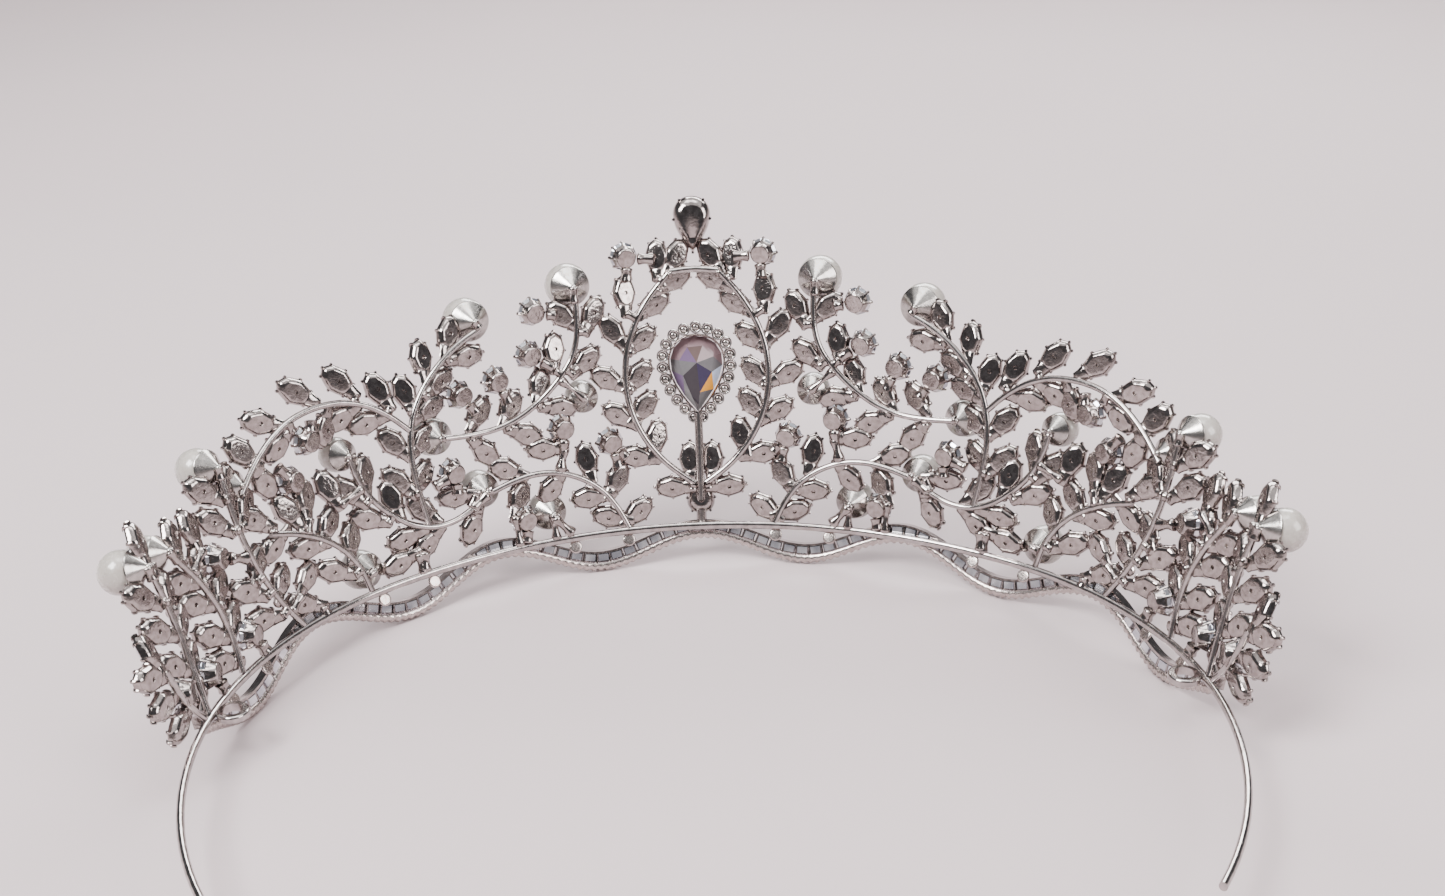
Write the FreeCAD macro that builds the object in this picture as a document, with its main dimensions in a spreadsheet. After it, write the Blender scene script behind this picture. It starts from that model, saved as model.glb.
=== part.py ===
"""Bridal tiara: a half-round headband, a scalloped gallery of baguettes under it, and a flared
panel of wire sprigs that carry leaf settings, round settings and capped pearls.

Frame: millimetres, +Z up, the tiara faces -Y and the wearer's left is +X.  z = 0 is the level
that the scallops stand on, and the origin is the middle of the bounding box's bottom.

Panel coordinates: the panel is the flared wall that rises from the band.  A place on it is
(s, h, d): s runs along the band from the front centre, positive to the wearer's left, h runs
up the flared wall from the band's centre line, and d stands out from the wall to the front.
Every sprig is listed for the left side and mirrored for the right.
"""
import FreeCAD, Part
import math
import os
import Sketcher
from FreeCAD import Matrix, Placement, Rotation, Vector

doc = FreeCAD.newDocument("bridal_tiara")

# ---------------------------------------------------------------- driving dimensions

DIMENSIONS = [
    # the band, a plan of five tangent arcs
    ("half_width", 70.0),
    ("front_arc_radius", 78.0),
    ("front_arc_angle", 39.5),
    ("rear_arc_radius", 68.0),
    ("band_reach", 143.0),
    ("band_rise", 1.3),
    ("band_thickness", 1.1),
    ("flare_angle", 17.5),
    ("origin_setback", 21.0),
    # pin loops
    ("loop_station", 94.0),
    ("loop_bore_radius", 1.4),
    ("loop_outer_radius", 2.35),
    ("loop_height", 1.2),
    ("loop_bite", 0.2),
    # the scalloped gallery
    ("scallop_pitch", 33.5),
    ("centre_crest", -0.6),
    ("scallop_crest", 0.5),
    ("scallop_trough", -4.6),
    ("gallery_reach", 97.0),
    ("gallery_rise", 3.2),
    ("gallery_standoff", 0.55),
    ("gallery_depth", 1.6),
    ("border_rise", 1.5),
    ("rail_rise", 0.35),
    ("baguette_length", 2.0),
    ("baguette_gap", 0.2),
    ("baguette_bevel", 0.4),
    ("tab_radius", 1.1),
    ("tab_thickness", 0.45),
    ("tab_spread", 4.5),
    ("tab_drop", 0.4),
    ("tab_standoff", 0.1),
    # wires
    ("stem_diameter", 1.0),
    ("oval_diameter", 1.1),
    ("neck_diameter", 1.7),
    ("neck_start", 1.6),
    ("post_diameter", 1.4),
    ("joint_diameter", 1.4),
    ("joint_bite", 0.3),
    ("open_gap", 0.3),
    # leaf setting and its navette crystal
    ("leaf_length", 6.0),
    ("leaf_width", 3.9),
    ("leaf_depth", 1.5),
    ("leaf_wall", 0.4),
    ("leaf_end_wall", 0.52),
    ("leaf_blunting", 1.0),
    ("leaf_floor", 0.4),
    ("leaf_hole_diameter", 0.6),
    ("tang_length", 0.9),
    ("tang_root", 0.8),
    ("tang_bite", 0.2),
    ("tang_width", 1.8),
    ("leaf_roll", 15.0),
    ("leaf_pitch", 8.0),
    ("setting_standoff", 0.35),
    ("leaf_crown", 0.6),
    # round setting and its crystal
    ("cup_back_diameter", 3.3),
    ("cup_front_diameter", 4.9),
    ("cup_depth", 2.7),
    ("cup_floor", 0.5),
    ("cup_wall", 0.35),
    ("cup_lean", 18.0),
    ("cup_setback", 0.8),
    ("cup_crown", 0.5),
    # all cut stones
    ("stone_clearance", 0.08),
    ("stone_girdle", 0.4),
    # pearls in conical caps
    ("large_pearl", 7.4),
    ("medium_pearl", 6.4),
    ("small_pearl", 5.6),
    ("cap_half_angle", 50.0),
    ("cap_tip_diameter", 0.9),
    ("cap_reach", 0.44),
    ("cap_wall", 0.3),
    ("pearl_lean", 6.0),
    # the centre drop with its halo
    ("drop_width", 8.8),
    ("drop_length", 12.6),
    ("bezel_wall", 0.45),
    ("bezel_depth", 2.6),
    ("halo_count", 21),
    ("halo_cup_diameter", 2.1),
    ("halo_cup_depth", 2.0),
    ("halo_stone_diameter", 1.54),
    ("halo_inset", 0.3),
    ("halo_bite", 0.05),
    ("drop_height", 25.2),
    ("drop_standoff", 0.2),
    # finial and base settings
    ("finial_width", 6.0),
    ("finial_length", 9.0),
    ("finial_height", 49.8),
    ("finial_standoff", 0.3),
    ("base_width", 4.6),
    ("base_length", 6.4),
    ("base_height", 5.0),
    ("base_standoff", 0.6),
    ("pear_depth", 2.4),
    ("pear_wall", 0.55),
    ("pear_tip_wall", 1.0),
    ("pear_shift", 0.3),
    ("pear_floor", 0.6),
    ("pear_crown", 0.7),
    ("pedestal_diameter", 1.7),
    ("pedestal_standoff", 1.2),
    ("pedestal_top", 2.6),
    ("pedestal_foot", 0.3),
]

sheet = doc.addObject("Spreadsheet::Sheet", "dimensions")
for row, (alias, value) in enumerate(DIMENSIONS, start=1):
    sheet.set(f"A{row}", alias)
    sheet.set(f"B{row}", str(value))
    sheet.setAlias(f"B{row}", alias)
doc.recompute()


def size(alias):
    """A driving dimension as it stands in the sheet."""
    return float(sheet.get(alias))


# ---------------------------------------------------------------- the sprigs of one side

# A sprig is a set of wires, thick straight necks, leaves, round settings and pearls.  Wires and
# necks are routes of (s, h) points.  A leaf is (s, h, direction of its tip in degrees, 90 is up),
# a round setting is (s, h), and a pearl is (s, h, its size).
SPRIGS = {
    "oval": {
        "wires": [
            [(0.9, 7.2), (3.1, 8.8), (5.6, 11.0), (8.0, 14.2), (9.7, 17.8), (10.7, 21.8), (10.8, 26.0),
             (10.2, 30.2), (8.8, 34.2), (6.5, 38.3), (3.4, 42.2)],
        ],
        "necks": [[(9.2, 44.6), (5.6, 44.4)], [(9.2, 44.3), (9.5, 41.2)]],
        "leaves": [
            (2.3, 44.4, 120), (2.7, 40.7, 150), (5.8, 36.7, 150), (7.9, 31.1, 145), (8.6, 25.2, 135),
            (8.1, 20.0, 133), (6.4, 14.8, 105), (5.2, 44.4, 90), (9.7, 38.8, 92), (12.1, 32.9, 57),
            (13.4, 25.1, 31), (12.1, 18.9, 34), (9.7, 11.8, 10), (4.2, 6.3, 0), (1.7, 10.8, 90),
        ],
        "rounds": [(9.3, 44.7)],
        "pearls": [],
    },
    "plume": {
        "wires": [
            [(17.0, 38.6), (17.1, 35.3), (17.4, 32.4), (18.4, 29.4), (20.5, 26.5), (23.4, 23.6),
             (27.0, 21.2), (31.0, 19.9), (35.4, 19.8), (39.6, 20.3)],
        ],
        "necks": [
            [(22.7, 37.2), (20.2, 36.7)], [(24.0, 30.3), (21.4, 28.4)],
            [(29.5, 27.0), (28.7, 23.8)], [(35.2, 25.8), (33.8, 23.2)],
        ],
        "leaves": [
            (14.5, 36.0, 120), (16.2, 28.5, 143), (19.0, 36.2, 44), (20.6, 30.8, 100), (23.3, 25.6, 113),
            (28.2, 22.7, 128), (33.1, 22.7, 134), (21.0, 21.4, 192), (26.8, 18.0, 207), (33.5, 16.6, 234),
        ],
        "rounds": [(22.9, 37.3), (24.2, 30.5), (29.6, 27.3), (35.3, 26.1)],
        "pearls": [(17.1, 40.8, "large_pearl"), (17.0, 22.5, "small_pearl"), (39.9, 20.4, "medium_pearl")],
    },
    "foot": {
        "wires": [
            [(12.1, 0.6), (13.6, 4.0), (15.6, 7.0), (18.6, 9.5), (22.4, 11.2), (26.4, 11.6),
             (30.2, 11.0), (33.8, 10.0)],
        ],
        "necks": [
            [(13.5, 14.2), (13.0, 10.8)], [(13.4, 14.2), (11.6, 12.3)],
            [(20.9, 17.6), (22.2, 11.4)],
            [(28.7, 3.9), (29.2, 0.8)], [(24.2, 3.9), (21.6, 0.8)], [(34.4, 9.8), (37.0, 8.2)],
        ],
        "leaves": [
            (10.3, 2.6, 144), (14.9, 2.2, 17), (13.1, 8.4, 122), (17.8, 5.9, 357), (23.5, 8.6, 309),
            (29.0, 7.9, 120), (37.2, 5.0, 296), (30.5, 12.8, 28), (24.0, 15.0, 5), (17.9, 12.2, 82),
        ],
        "rounds": [(13.5, 14.6), (20.7, 17.9), (28.6, 4.1)],
        "pearls": [(34.3, 10.2, "medium_pearl"), (24.3, 4.4, "medium_pearl")],
    },
    "arch": {
        "wires": [
            [(31.2, 36.3), (34.6, 34.6), (37.8, 32.2), (40.8, 29.2), (43.2, 25.6), (44.6, 21.6),
             (45.2, 17.2), (45.0, 12.4), (44.5, 7.4)],
        ],
        "necks": [[(38.8, 13.8), (39.0, 11.0)], [(39.0, 14.0), (42.4, 13.2)]],
        "leaves": [
            (33.6, 32.1, 178), (35.4, 36.0, 116), (39.8, 33.2, 96), (38.2, 28.9, 151), (40.4, 25.2, 159),
            (43.6, 28.6, 81), (42.4, 20.5, 145), (46.9, 21.3, 55), (43.6, 14.8, 134), (47.6, 15.2, 51),
            (39.0, 10.3, 6),
        ],
        "rounds": [(38.7, 14.2)],
        "pearls": [(31.7, 37.5, "large_pearl")],
    },
    "scroll": {
        "wires": [
            [(37.0, 8.2), (40.2, 6.9), (43.8, 6.8), (47.4, 8.3), (50.6, 11.2), (53.0, 14.6), (54.2, 18.4),
             (54.4, 21.6)],
        ],
        "necks": [[(47.0, 0.7), (46.4, 3.6)]],
        "leaves": [
            (44.9, 9.8, 52), (45.0, 4.3, 322), (48.4, 6.2, 351), (49.3, 13.0, 83), (52.2, 18.1, 105),
            (55.6, 16.2, 53), (53.6, 11.1, 26), (57.0, 9.0, 117), (50.2, 2.7, 345), (58.4, 17.9, 78),
        ],
        "rounds": [],
        "pearls": [(54.5, 21.9, "small_pearl"), (55.4, 3.3, "medium_pearl")],
    },
    "laurel": {
        "wires": [
            [(44.4, 23.0), (46.8, 26.0), (49.8, 28.6), (53.4, 30.2), (57.4, 30.7), (61.4, 30.2),
             (65.2, 28.5), (68.8, 26.0), (72.2, 23.0)],
        ],
        "necks": [[(59.2, 26.0), (58.4, 29.0)], [(63.5, 21.2), (65.4, 24.2)]],
        "leaves": [
            (47.3, 30.0, 71), (52.6, 33.0, 57), (58.8, 33.4, 46), (65.0, 31.0, 28), (50.0, 25.6, 356),
            (53.6, 27.5, 338), (56.0, 27.0, 290), (63.6, 26.8, 329), (69.3, 28.2, 62), (67.6, 22.8, 250),
        ],
        "rounds": [(59.3, 25.8), (63.4, 21.0)],
        "pearls": [(71.8, 24.2, "small_pearl")],
    },
    "spray": {
        "wires": [
            [(56.6, 0.7), (57.2, 4.4), (59.0, 8.2), (62.0, 11.4), (65.8, 13.8), (70.0, 15.6)],
            [(70.0, 0.7), (72.4, 5.4), (74.0, 10.6), (74.8, 16.2), (74.8, 21.8), (74.4, 26.8)],
            [(84.6, 0.7), (83.6, 5.4), (83.6, 10.4), (84.8, 15.4), (87.2, 20.6)],
            [(95.6, 0.7), (94.4, 5.4), (93.4, 10.6), (92.8, 16.0), (92.8, 21.2)],
            [(96.8, 0.7), (98.6, 3.4), (99.8, 6.8), (100.0, 10.6)],
        ],
        "necks": [
            [(79.2, 3.6), (78.6, 0.8)], [(90.0, 3.6), (89.6, 0.8)], [(79.4, 16.2), (75.4, 14.4)],
            [(97.6, 5.4), (99.4, 5.2)],
        ],
        "leaves": [
            (59.8, 12.6, 137), (65.6, 17.2, 70), (71.2, 18.3, 46), (69.3, 13.2, 328), (64.2, 10.6, 9),
            (61.2, 5.4, 30), (66.0, 6.4, 150), (68.0, 3.0, 30),
            (62.0, 17.8, 112), (73.0, 12.2, 140),
            (70.4, 7.8, 140), (76.8, 9.4, 38), (71.6, 20.8, 135), (77.6, 21.0, 50), (72.8, 25.0, 120),
            (77.2, 25.8, 48), (75.9, 4.4, 15),
            (81.0, 7.4, 140), (86.2, 7.6, 38), (80.8, 12.6, 140), (86.6, 13.0, 35), (82.4, 17.8, 122),
            (81.4, 22.2, 100), (85.0, 22.6, 112), (87.6, 17.0, 30),
            (91.8, 7.4, 142), (90.4, 12.6, 140), (90.2, 17.6, 130), (96.4, 9.0, 45), (95.8, 14.4, 45),
            (95.6, 19.6, 48), (91.0, 25.6, 110),
            (86.4, 3.3, 30), (93.2, 3.0, 148),
            (101.2, 2.8, 350), (102.6, 7.0, 10), (102.4, 11.2, 30), (99.4, 13.4, 95),
        ],
        "rounds": [(79.3, 3.8), (79.6, 16.4), (90.1, 3.8), (97.6, 5.4)],
        "pearls": [
            (74.3, 28.2, "medium_pearl"), (88.0, 22.4, "small_pearl"), (93.0, 22.9, "medium_pearl"),
        ],
    },
}
SIDES = {"left": 1, "right": -1}
CROSSBAR = [(3.4, 42.2), (0.0, 42.6), (-3.4, 42.2)]

# Facet levels of the two kinds of stone that show their backs: (z, share of the full outline).
DROP_LEVELS = [(0.0, 0.06), (0.9, 0.62), (1.6, 1.0), (2.1, 1.0), (3.3, 0.6)]
HALO_LEVELS = [(0.1, 0.35), (1.0, 1.0), (1.4, 1.0), (2.4, 0.6)]
CULET_SHARE = 0.4
TABLE_SHARE = 0.6
BAGUETTE_TABLE_SHARE = 0.78

# How much of its shorter run an arc of a wire takes up, and a station that is just off the centre.
ARC_SHARE = 0.45
OFF_CENTRE = 0.001

# ---------------------------------------------------------------- the band's plan and the panel

FLARE = math.radians(size("flare_angle"))
ARC_ANGLE = math.radians(size("front_arc_angle"))
FRONT_HALF_WIDTH = size("front_arc_radius") * math.sin(ARC_ANGLE)
SIDE_RADIUS = (size("half_width") - FRONT_HALF_WIDTH) / (1 - math.sin(ARC_ANGLE))
FRONT_LENGTH = size("front_arc_radius") * ARC_ANGLE
SIDE_LENGTH = SIDE_RADIUS * (math.pi / 2 - ARC_ANGLE)
GALLERY_BOTTOM = size("scallop_trough") - size("gallery_rise") / 2
GALLERY_FRONT = size("gallery_standoff") + size("gallery_depth")
BAND_LEVEL = GALLERY_FRONT * math.sin(FLARE) - GALLERY_BOTTOM * math.cos(FLARE)
UP = Vector(0, 0, 1)


def plan(reach):
    """Point and heading on the left half of the band's plan; heading 0 faces -Y, 90 faces +X."""
    front = size("front_arc_radius")
    if reach <= FRONT_LENGTH:
        heading = reach / front
        centre = Vector(0, (front - SIDE_RADIUS) * math.cos(ARC_ANGLE), 0)
        radius = front
    elif reach <= FRONT_LENGTH + SIDE_LENGTH:
        heading = ARC_ANGLE + (reach - FRONT_LENGTH) / SIDE_RADIUS
        centre = Vector((front - SIDE_RADIUS) * math.sin(ARC_ANGLE), 0, 0)
        radius = SIDE_RADIUS
    else:
        radius = size("rear_arc_radius")
        heading = math.pi / 2 + (reach - FRONT_LENGTH - SIDE_LENGTH) / radius
        centre = Vector(size("half_width") - radius, 0, 0)
    outward = Vector(math.sin(heading), -math.cos(heading), 0)
    return centre + outward * radius, outward


def panel(s, h, d=0.0):
    """Placement on the panel: x runs along the band, y up the wall and z out to the front."""
    side = -1 if s < 0 else 1
    foot, outward = plan(abs(s))
    foot = Vector(side * foot.x, foot.y + size("origin_setback"), BAND_LEVEL)
    outward = Vector(side * outward.x, outward.y, 0)
    along = UP.cross(outward)
    rise = outward * math.sin(FLARE) + UP * math.cos(FLARE)
    face = outward * math.cos(FLARE) - UP * math.sin(FLARE)
    spot = foot + rise * h + face * d
    return Placement(Matrix(
        along.x, rise.x, face.x, spot.x,
        along.y, rise.y, face.y, spot.y,
        along.z, rise.z, face.z, spot.z,
        0, 0, 0, 1))


def turn(axis, degrees):
    """Placement that only turns."""
    return Placement(Vector(), Rotation(axis, degrees))


# ---------------------------------------------------------------- shape helpers


def route_wire(points):
    """Straight runs joined by tangent arcs as large as the runs allow."""
    edges = []
    start = points[0]
    for before, corner, after in zip(points, points[1:], points[2:]):
        run_in = corner - before
        run_out = after - corner
        shorter = min(run_in.Length, run_out.Length)
        run_in.normalize()
        run_out.normalize()
        half_turn = run_in.getAngle(run_out) / 2
        cut = ARC_SHARE * shorter
        radius = cut / math.tan(half_turn)
        inward = run_out - run_in
        inward.normalize()
        centre = corner + inward * (radius / math.cos(half_turn))
        first = corner - run_in * cut
        last = corner + run_out * cut
        edges.append(Part.LineSegment(start, first).toShape())
        edges.append(Part.Arc(first, centre - inward * radius, last).toShape())
        start = last
    edges.append(Part.LineSegment(start, points[-1]).toShape())
    return Part.Wire(edges)


def round_wire(points, diameter):
    """A round wire along a route of points."""
    heading = points[1] - points[0]
    circle = Part.Wire(Part.makeCircle(diameter / 2, points[0], heading))
    if len(points) == 2:
        return Part.makeCylinder(diameter / 2, heading.Length, points[0], heading)
    return route_wire(points).makePipeShell([circle], True, False)


def panel_wire(route, side, diameter):
    """A round wire that follows (s, h) points of one side on the panel."""
    return round_wire([panel(side * s, h).Base for s, h in route], diameter)


def faceted(outline, levels):
    """A closed stone: the outline, scaled and lifted to each (z, scale) level, with flat facets."""
    rings = [[Vector(x * scale, y * scale, z) for x, y in outline] for z, scale in levels]
    faces = [Part.Face(Part.makePolygon(ring + ring[:1])) for ring in (rings[0], rings[-1])]
    for lower, upper in zip(rings, rings[1:]):
        for i in range(len(outline)):
            j = (i + 1) % len(outline)
            corners = [lower[i], lower[j], upper[j], upper[i], lower[i]]
            faces.append(Part.Face(Part.makePolygon(corners)))
    stone = Part.makeSolid(Part.makeShell(faces))
    if stone.Volume < 0:
        stone.reverse()
    return stone


def navette(length, width, steps=4):
    """Outline of a pointed leaf, two equal arcs, as corner points."""
    radius = (length ** 2 + width ** 2) / (4 * width)
    reach = math.asin(length / 2 / radius)
    upper = []
    for i in range(-steps, steps):
        angle = reach * i / steps
        upper.append((radius * math.sin(angle), radius * math.cos(angle) - radius + width / 2))
    return upper + [(-x, -y) for x, y in upper]


def pear(width, length, steps=24, point_up=False):
    """Outline of a pear, round at one end and pointed at the other, as corner points."""
    greatest = 4 / math.sqrt(27)
    flip = -1 if point_up else 1
    outline = []
    for i in range(steps):
        angle = 2 * math.pi * i / steps
        x = width / 2 / greatest * math.sin(angle) * math.sin(angle / 2)
        outline.append((flip * x, -flip * length / 2 * math.cos(angle)))
    return outline


def round_outline(diameter, steps=12):
    """A circle as corner points."""
    angles = [2 * math.pi * i / steps for i in range(steps)]
    return [(diameter / 2 * math.cos(a), diameter / 2 * math.sin(a)) for a in angles]


def smooth_face(outline):
    """A flat face inside a closed smooth curve that keeps its first point as a corner."""
    curve = Part.BSplineCurve()
    curve.interpolate([Vector(x, y, 0) for x, y in outline + outline[:1]])
    return Part.Face(Part.Wire(curve.toShape()))


def grown(outline, amount):
    """The outline pushed outwards from its middle by about this amount."""
    spread = []
    for x, y in outline:
        reach = math.hypot(x, y)
        spread.append((x * (1 + amount / reach), y * (1 + amount / reach)))
    return spread


def spaced(outline, count):
    """Points at equal distances round a closed outline, the first one half a step from its start."""
    closed = outline + outline[:1]
    lengths = [math.dist(a, b) for a, b in zip(closed, closed[1:])]
    step = sum(lengths) / count
    spots = []
    for k in range(count):
        left = step * (k + 0.5)
        i = 0
        while left > lengths[i]:
            left -= lengths[i]
            i += 1
        part = left / lengths[i]
        (ax, ay), (bx, by) = closed[i], closed[i + 1]
        spots.append((ax + (bx - ax) * part, ay + (by - ay) * part))
    return spots


# ---------------------------------------------------------------- pattern pieces, bound to the sheet


def bound(piece, **bindings):
    """Bind a piece's properties to expressions over the sheet."""
    for prop, expression in bindings.items():
        piece.setExpression(prop, expression)
    return piece


def primitive(kind, name, **bindings):
    """A Part primitive bound to the sheet."""
    return bound(doc.addObject(kind, name), **bindings)


def shifted(piece, **bindings):
    """Bind a piece's x, y or z to expressions over the sheet."""
    for axis, expression in bindings.items():
        piece.setExpression(f"Placement.Base.{axis}", expression)
    return piece


def boolean(kind, name, base, tool):
    """A Part::Cut, Part::Fuse or Part::Common of two objects."""
    result = doc.addObject(kind, name)
    result.Base = base
    result.Tool = tool
    return result


def pointed_block(name, length, width, height, level):
    """A pointed leaf block: what two equal cylinders share."""
    radius = f"(({length})^2 + ({width})^2) / (4 * ({width}))"
    halves = []
    for tag, sign in (("upper", 1), ("lower", -1)):
        half = primitive("Part::Cylinder", f"{name}_{tag}", Radius=radius, Height=height)
        halves.append(shifted(half, y=f"{sign} * ({radius} - ({width}) / 2)", z=level))
    return boolean("Part::Common", name, *halves)


def leaf_setting_pattern():
    """Blunt navette cup: floor with a small hole, a wall round it and a tang towards the stem."""
    d = "dimensions."
    pointed = pointed_block("leaf_block", f"{d}leaf_length + {d}leaf_blunting", f"{d}leaf_width",
                            f"{d}leaf_depth", "0 mm")
    tips = primitive("Part::Cylinder", "leaf_tips", Radius=f"{d}leaf_length / 2", Height=f"{d}leaf_depth")
    block = boolean("Part::Common", "leaf_blunt_block", pointed, tips)
    pocket = pointed_block("leaf_pocket", f"{d}leaf_length - 2 * {d}leaf_end_wall",
                           f"{d}leaf_width - 2 * {d}leaf_wall", f"{d}leaf_depth", f"{d}leaf_floor")
    hole = primitive("Part::Cylinder", "leaf_hole", Radius=f"{d}leaf_hole_diameter / 2",
                     Height=f"{d}leaf_depth")
    tang = primitive("Part::Box", "leaf_tang", Length=f"{d}tang_length + {d}tang_root",
                     Width=f"{d}tang_width", Height=f"{d}leaf_floor")
    shifted(tang, x=f"-{d}leaf_length / 2 - {d}tang_length + {d}tang_bite", y=f"-{d}tang_width / 2")
    body = boolean("Part::Fuse", "leaf_body", block, tang)
    cup = boolean("Part::Cut", "leaf_cup", body, pocket)
    return boolean("Part::Cut", "leaf_setting_pattern", cup, hole)


def cup_pattern():
    """Round cup that widens to the front, with a flat floor."""
    d = "dimensions."
    wall = primitive("Part::Cone", "cup_body", Radius1=f"{d}cup_back_diameter / 2",
                     Radius2=f"{d}cup_front_diameter / 2", Height=f"{d}cup_depth")
    hollow = primitive("Part::Cylinder", "cup_hollow", Radius=f"{d}cup_back_diameter / 2 - {d}cup_wall / 2",
                       Height=f"{d}cup_depth")
    return boolean("Part::Cut", "cup_pattern", wall, shifted(hollow, z=f"{d}cup_floor"))


def pearl_pattern(pearl):
    """Pearl on its cap's axis, the cap's sharp point at z = 0."""
    ball = primitive("Part::Sphere", f"{pearl}_pattern", Radius=f"dimensions.{pearl} / 2")
    return shifted(ball, z=f"dimensions.{pearl} / 2 / sin(dimensions.cap_half_angle * 1 deg)")


def cap_pattern(pearl, ball):
    """Cone that holds a pearl: solid at its blunt tip, hollowed by the pearl."""
    d = "dimensions."
    slope = f"tan({d}cap_half_angle * 1 deg)"
    rim = f"{d}{pearl} * {d}cap_reach"
    cone = primitive("Part::Cone", f"{pearl}_cone", Radius1=f"{d}cap_tip_diameter / 2", Radius2=rim,
                     Height=f"({rim} - {d}cap_tip_diameter / 2) / {slope}")
    shifted(cone, z=f"{d}cap_tip_diameter / 2 / {slope} - {d}cap_wall")
    return boolean("Part::Cut", f"{pearl}_cap_pattern", cone, ball)


def pin_loop_pattern():
    """Pin loop: a flat ring padded from two circles, its outer edges rounded."""
    body = doc.addObject("PartDesign::Body", "pin_loop_pattern")
    sketch = body.newObject("Sketcher::SketchObject", "loop_sketch")
    plane = [f for f in body.Origin.OriginFeatures if f.Role == "XY_Plane"][0]
    sketch.AttachmentSupport = (plane, "")
    sketch.MapMode = "FlatFace"
    for index, alias in enumerate(("loop_bore_radius", "loop_outer_radius")):
        sketch.addGeometry(Part.Circle(Vector(), UP, size(alias)), False)
        sketch.addConstraint(Sketcher.Constraint("Coincident", index, 3, -1, 1))
        place = sketch.addConstraint(Sketcher.Constraint("Radius", index, size(alias)))
        sketch.renameConstraint(place, alias)
        sketch.setExpression(f"Constraints.{alias}", f"dimensions.{alias}")
    pad = body.newObject("PartDesign::Pad", "loop_pad")
    pad.Profile = sketch
    pad.setExpression("Length", "dimensions.loop_height")
    pad.Midplane = True
    doc.recompute()
    rims = [f"Edge{i}" for i, edge in enumerate(pad.Shape.Edges, start=1)
            if edge.Closed and abs(edge.Curve.Radius - size("loop_outer_radius")) < 1e-6]
    rounding = body.newObject("PartDesign::Fillet", "loop_rounding")
    rounding.Base = (pad, rims)
    rounding.setExpression("Radius", "dimensions.loop_height / 3")
    return body


def headband():
    """The band: an oval section swept along its plan of five tangent arcs."""
    reach = size("band_reach")
    stations = [reach, FRONT_LENGTH + SIDE_LENGTH, FRONT_LENGTH]
    stations = stations + [0.0] + [-s for s in reversed(stations)]
    arcs = []
    for start, end in zip(stations, stations[1:]):
        places = [panel(s, 0).Base for s in (start, (start + end) / 2, end)]
        arcs.append(Part.Arc(*places).toShape())
    path = doc.addObject("Part::Feature", "band_path")
    path.Shape = Part.Wire(arcs)
    section = primitive("Part::Ellipse", "band_section", MajorRadius="dimensions.band_rise / 2",
                        MinorRadius="dimensions.band_thickness / 2")
    foot = panel(reach, 0).Base
    along = path.Shape.Edges[0].tangentAt(path.Shape.Edges[0].FirstParameter)
    section.Placement = Placement(foot, Rotation(UP, UP.cross(along), along, "ZXY"))
    sweep = doc.addObject("Part::Sweep", "headband")
    sweep.Sections = [section]
    sweep.Spine = (path, [f"Edge{i + 1}" for i in range(len(arcs))])
    sweep.Solid = True
    return sweep


# ---------------------------------------------------------------- placing the pieces


def placed(shape, place):
    """A copy of a shape, moved from the pattern's own frame to a place."""
    piece = shape.copy()
    piece.Placement = place.multiply(piece.Placement)
    return piece


def leaf_place(side, s, h, direction):
    """Where a leaf sits: its long axis along direction, rolled a little so that its front looks up."""
    heading = direction if side > 0 else 180 - direction
    roll = -math.copysign(size("leaf_roll"), math.cos(math.radians(heading)))
    forward = turn(Vector(0, 1, 0), -size("leaf_pitch"))
    centring = Placement(Vector(size("tang_length") / 2, 0, 0), Rotation())
    flat = panel(side * s, h, size("setting_standoff")).multiply(turn(UP, heading))
    return flat.multiply(forward).multiply(turn(Vector(1, 0, 0), roll)).multiply(centring)


def leaning_place(side, s, h, d, lean):
    """A place on the panel whose outward axis leans up and away from the centre."""
    heading = math.radians(45 if side > 0 else 135)
    axis = Vector(-math.sin(heading), math.cos(heading), 0)
    return panel(side * s, h, d).multiply(turn(axis, lean))


def sprig_nodes(side_name, sprig):
    """The wires and the leaf settings of one sprig on one side."""
    side = SIDES[side_name]
    plan_of = SPRIGS[sprig]
    stem = size("oval_diameter") if sprig == "oval" else size("stem_diameter")
    wires = [panel_wire(route, side, stem) for route in plan_of["wires"]]
    pattern = patterns["leaf_setting"].Shape
    leaves = [placed(pattern, leaf_place(side, *leaf)) for leaf in plan_of["leaves"]]
    return {f"{side_name}_{sprig}_wires": wires, f"{side_name}_{sprig}_leaves": leaves}


def cup_place(side, s, h):
    """Where a round setting sits, its flat back behind the necks that hold it by its wall."""
    return leaning_place(side, s, h, -size("cup_setback"), size("cup_lean"))


def cap_place(side, s, h):
    """Where a pearl cap sits, its blunt tip at the wires."""
    return leaning_place(side, s, h, -size("cap_wall"), size("pearl_lean"))


def feet(side, sprig):
    """The points where a sprig's settings reach for the wires: leaf tangs and cap tips."""
    tang = Vector(-size("leaf_length") / 2 - size("tang_length") / 2, 0, size("leaf_floor") / 2)
    points = [leaf_place(side, *leaf).multVec(tang) for leaf in sprig["leaves"]]
    points += [cap_place(side, s, h).multVec(UP * size("cap_wall")) for s, h, _ in sprig["pearls"]]
    return points


def neck_route(neck, rounds):
    """A listed neck; one that leaves a round setting starts at its wall instead of its middle."""
    start, end = [Vector(s, h, 0) for s, h in neck]
    for s, h in rounds:
        middle = Vector(s, h, 0)
        if middle.distanceToPoint(start) < size("cup_back_diameter") / 4:
            run = end - middle
            start = middle + run * (size("neck_start") / run.Length)
    return [(start.x, start.y), (end.x, end.y)]


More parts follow.
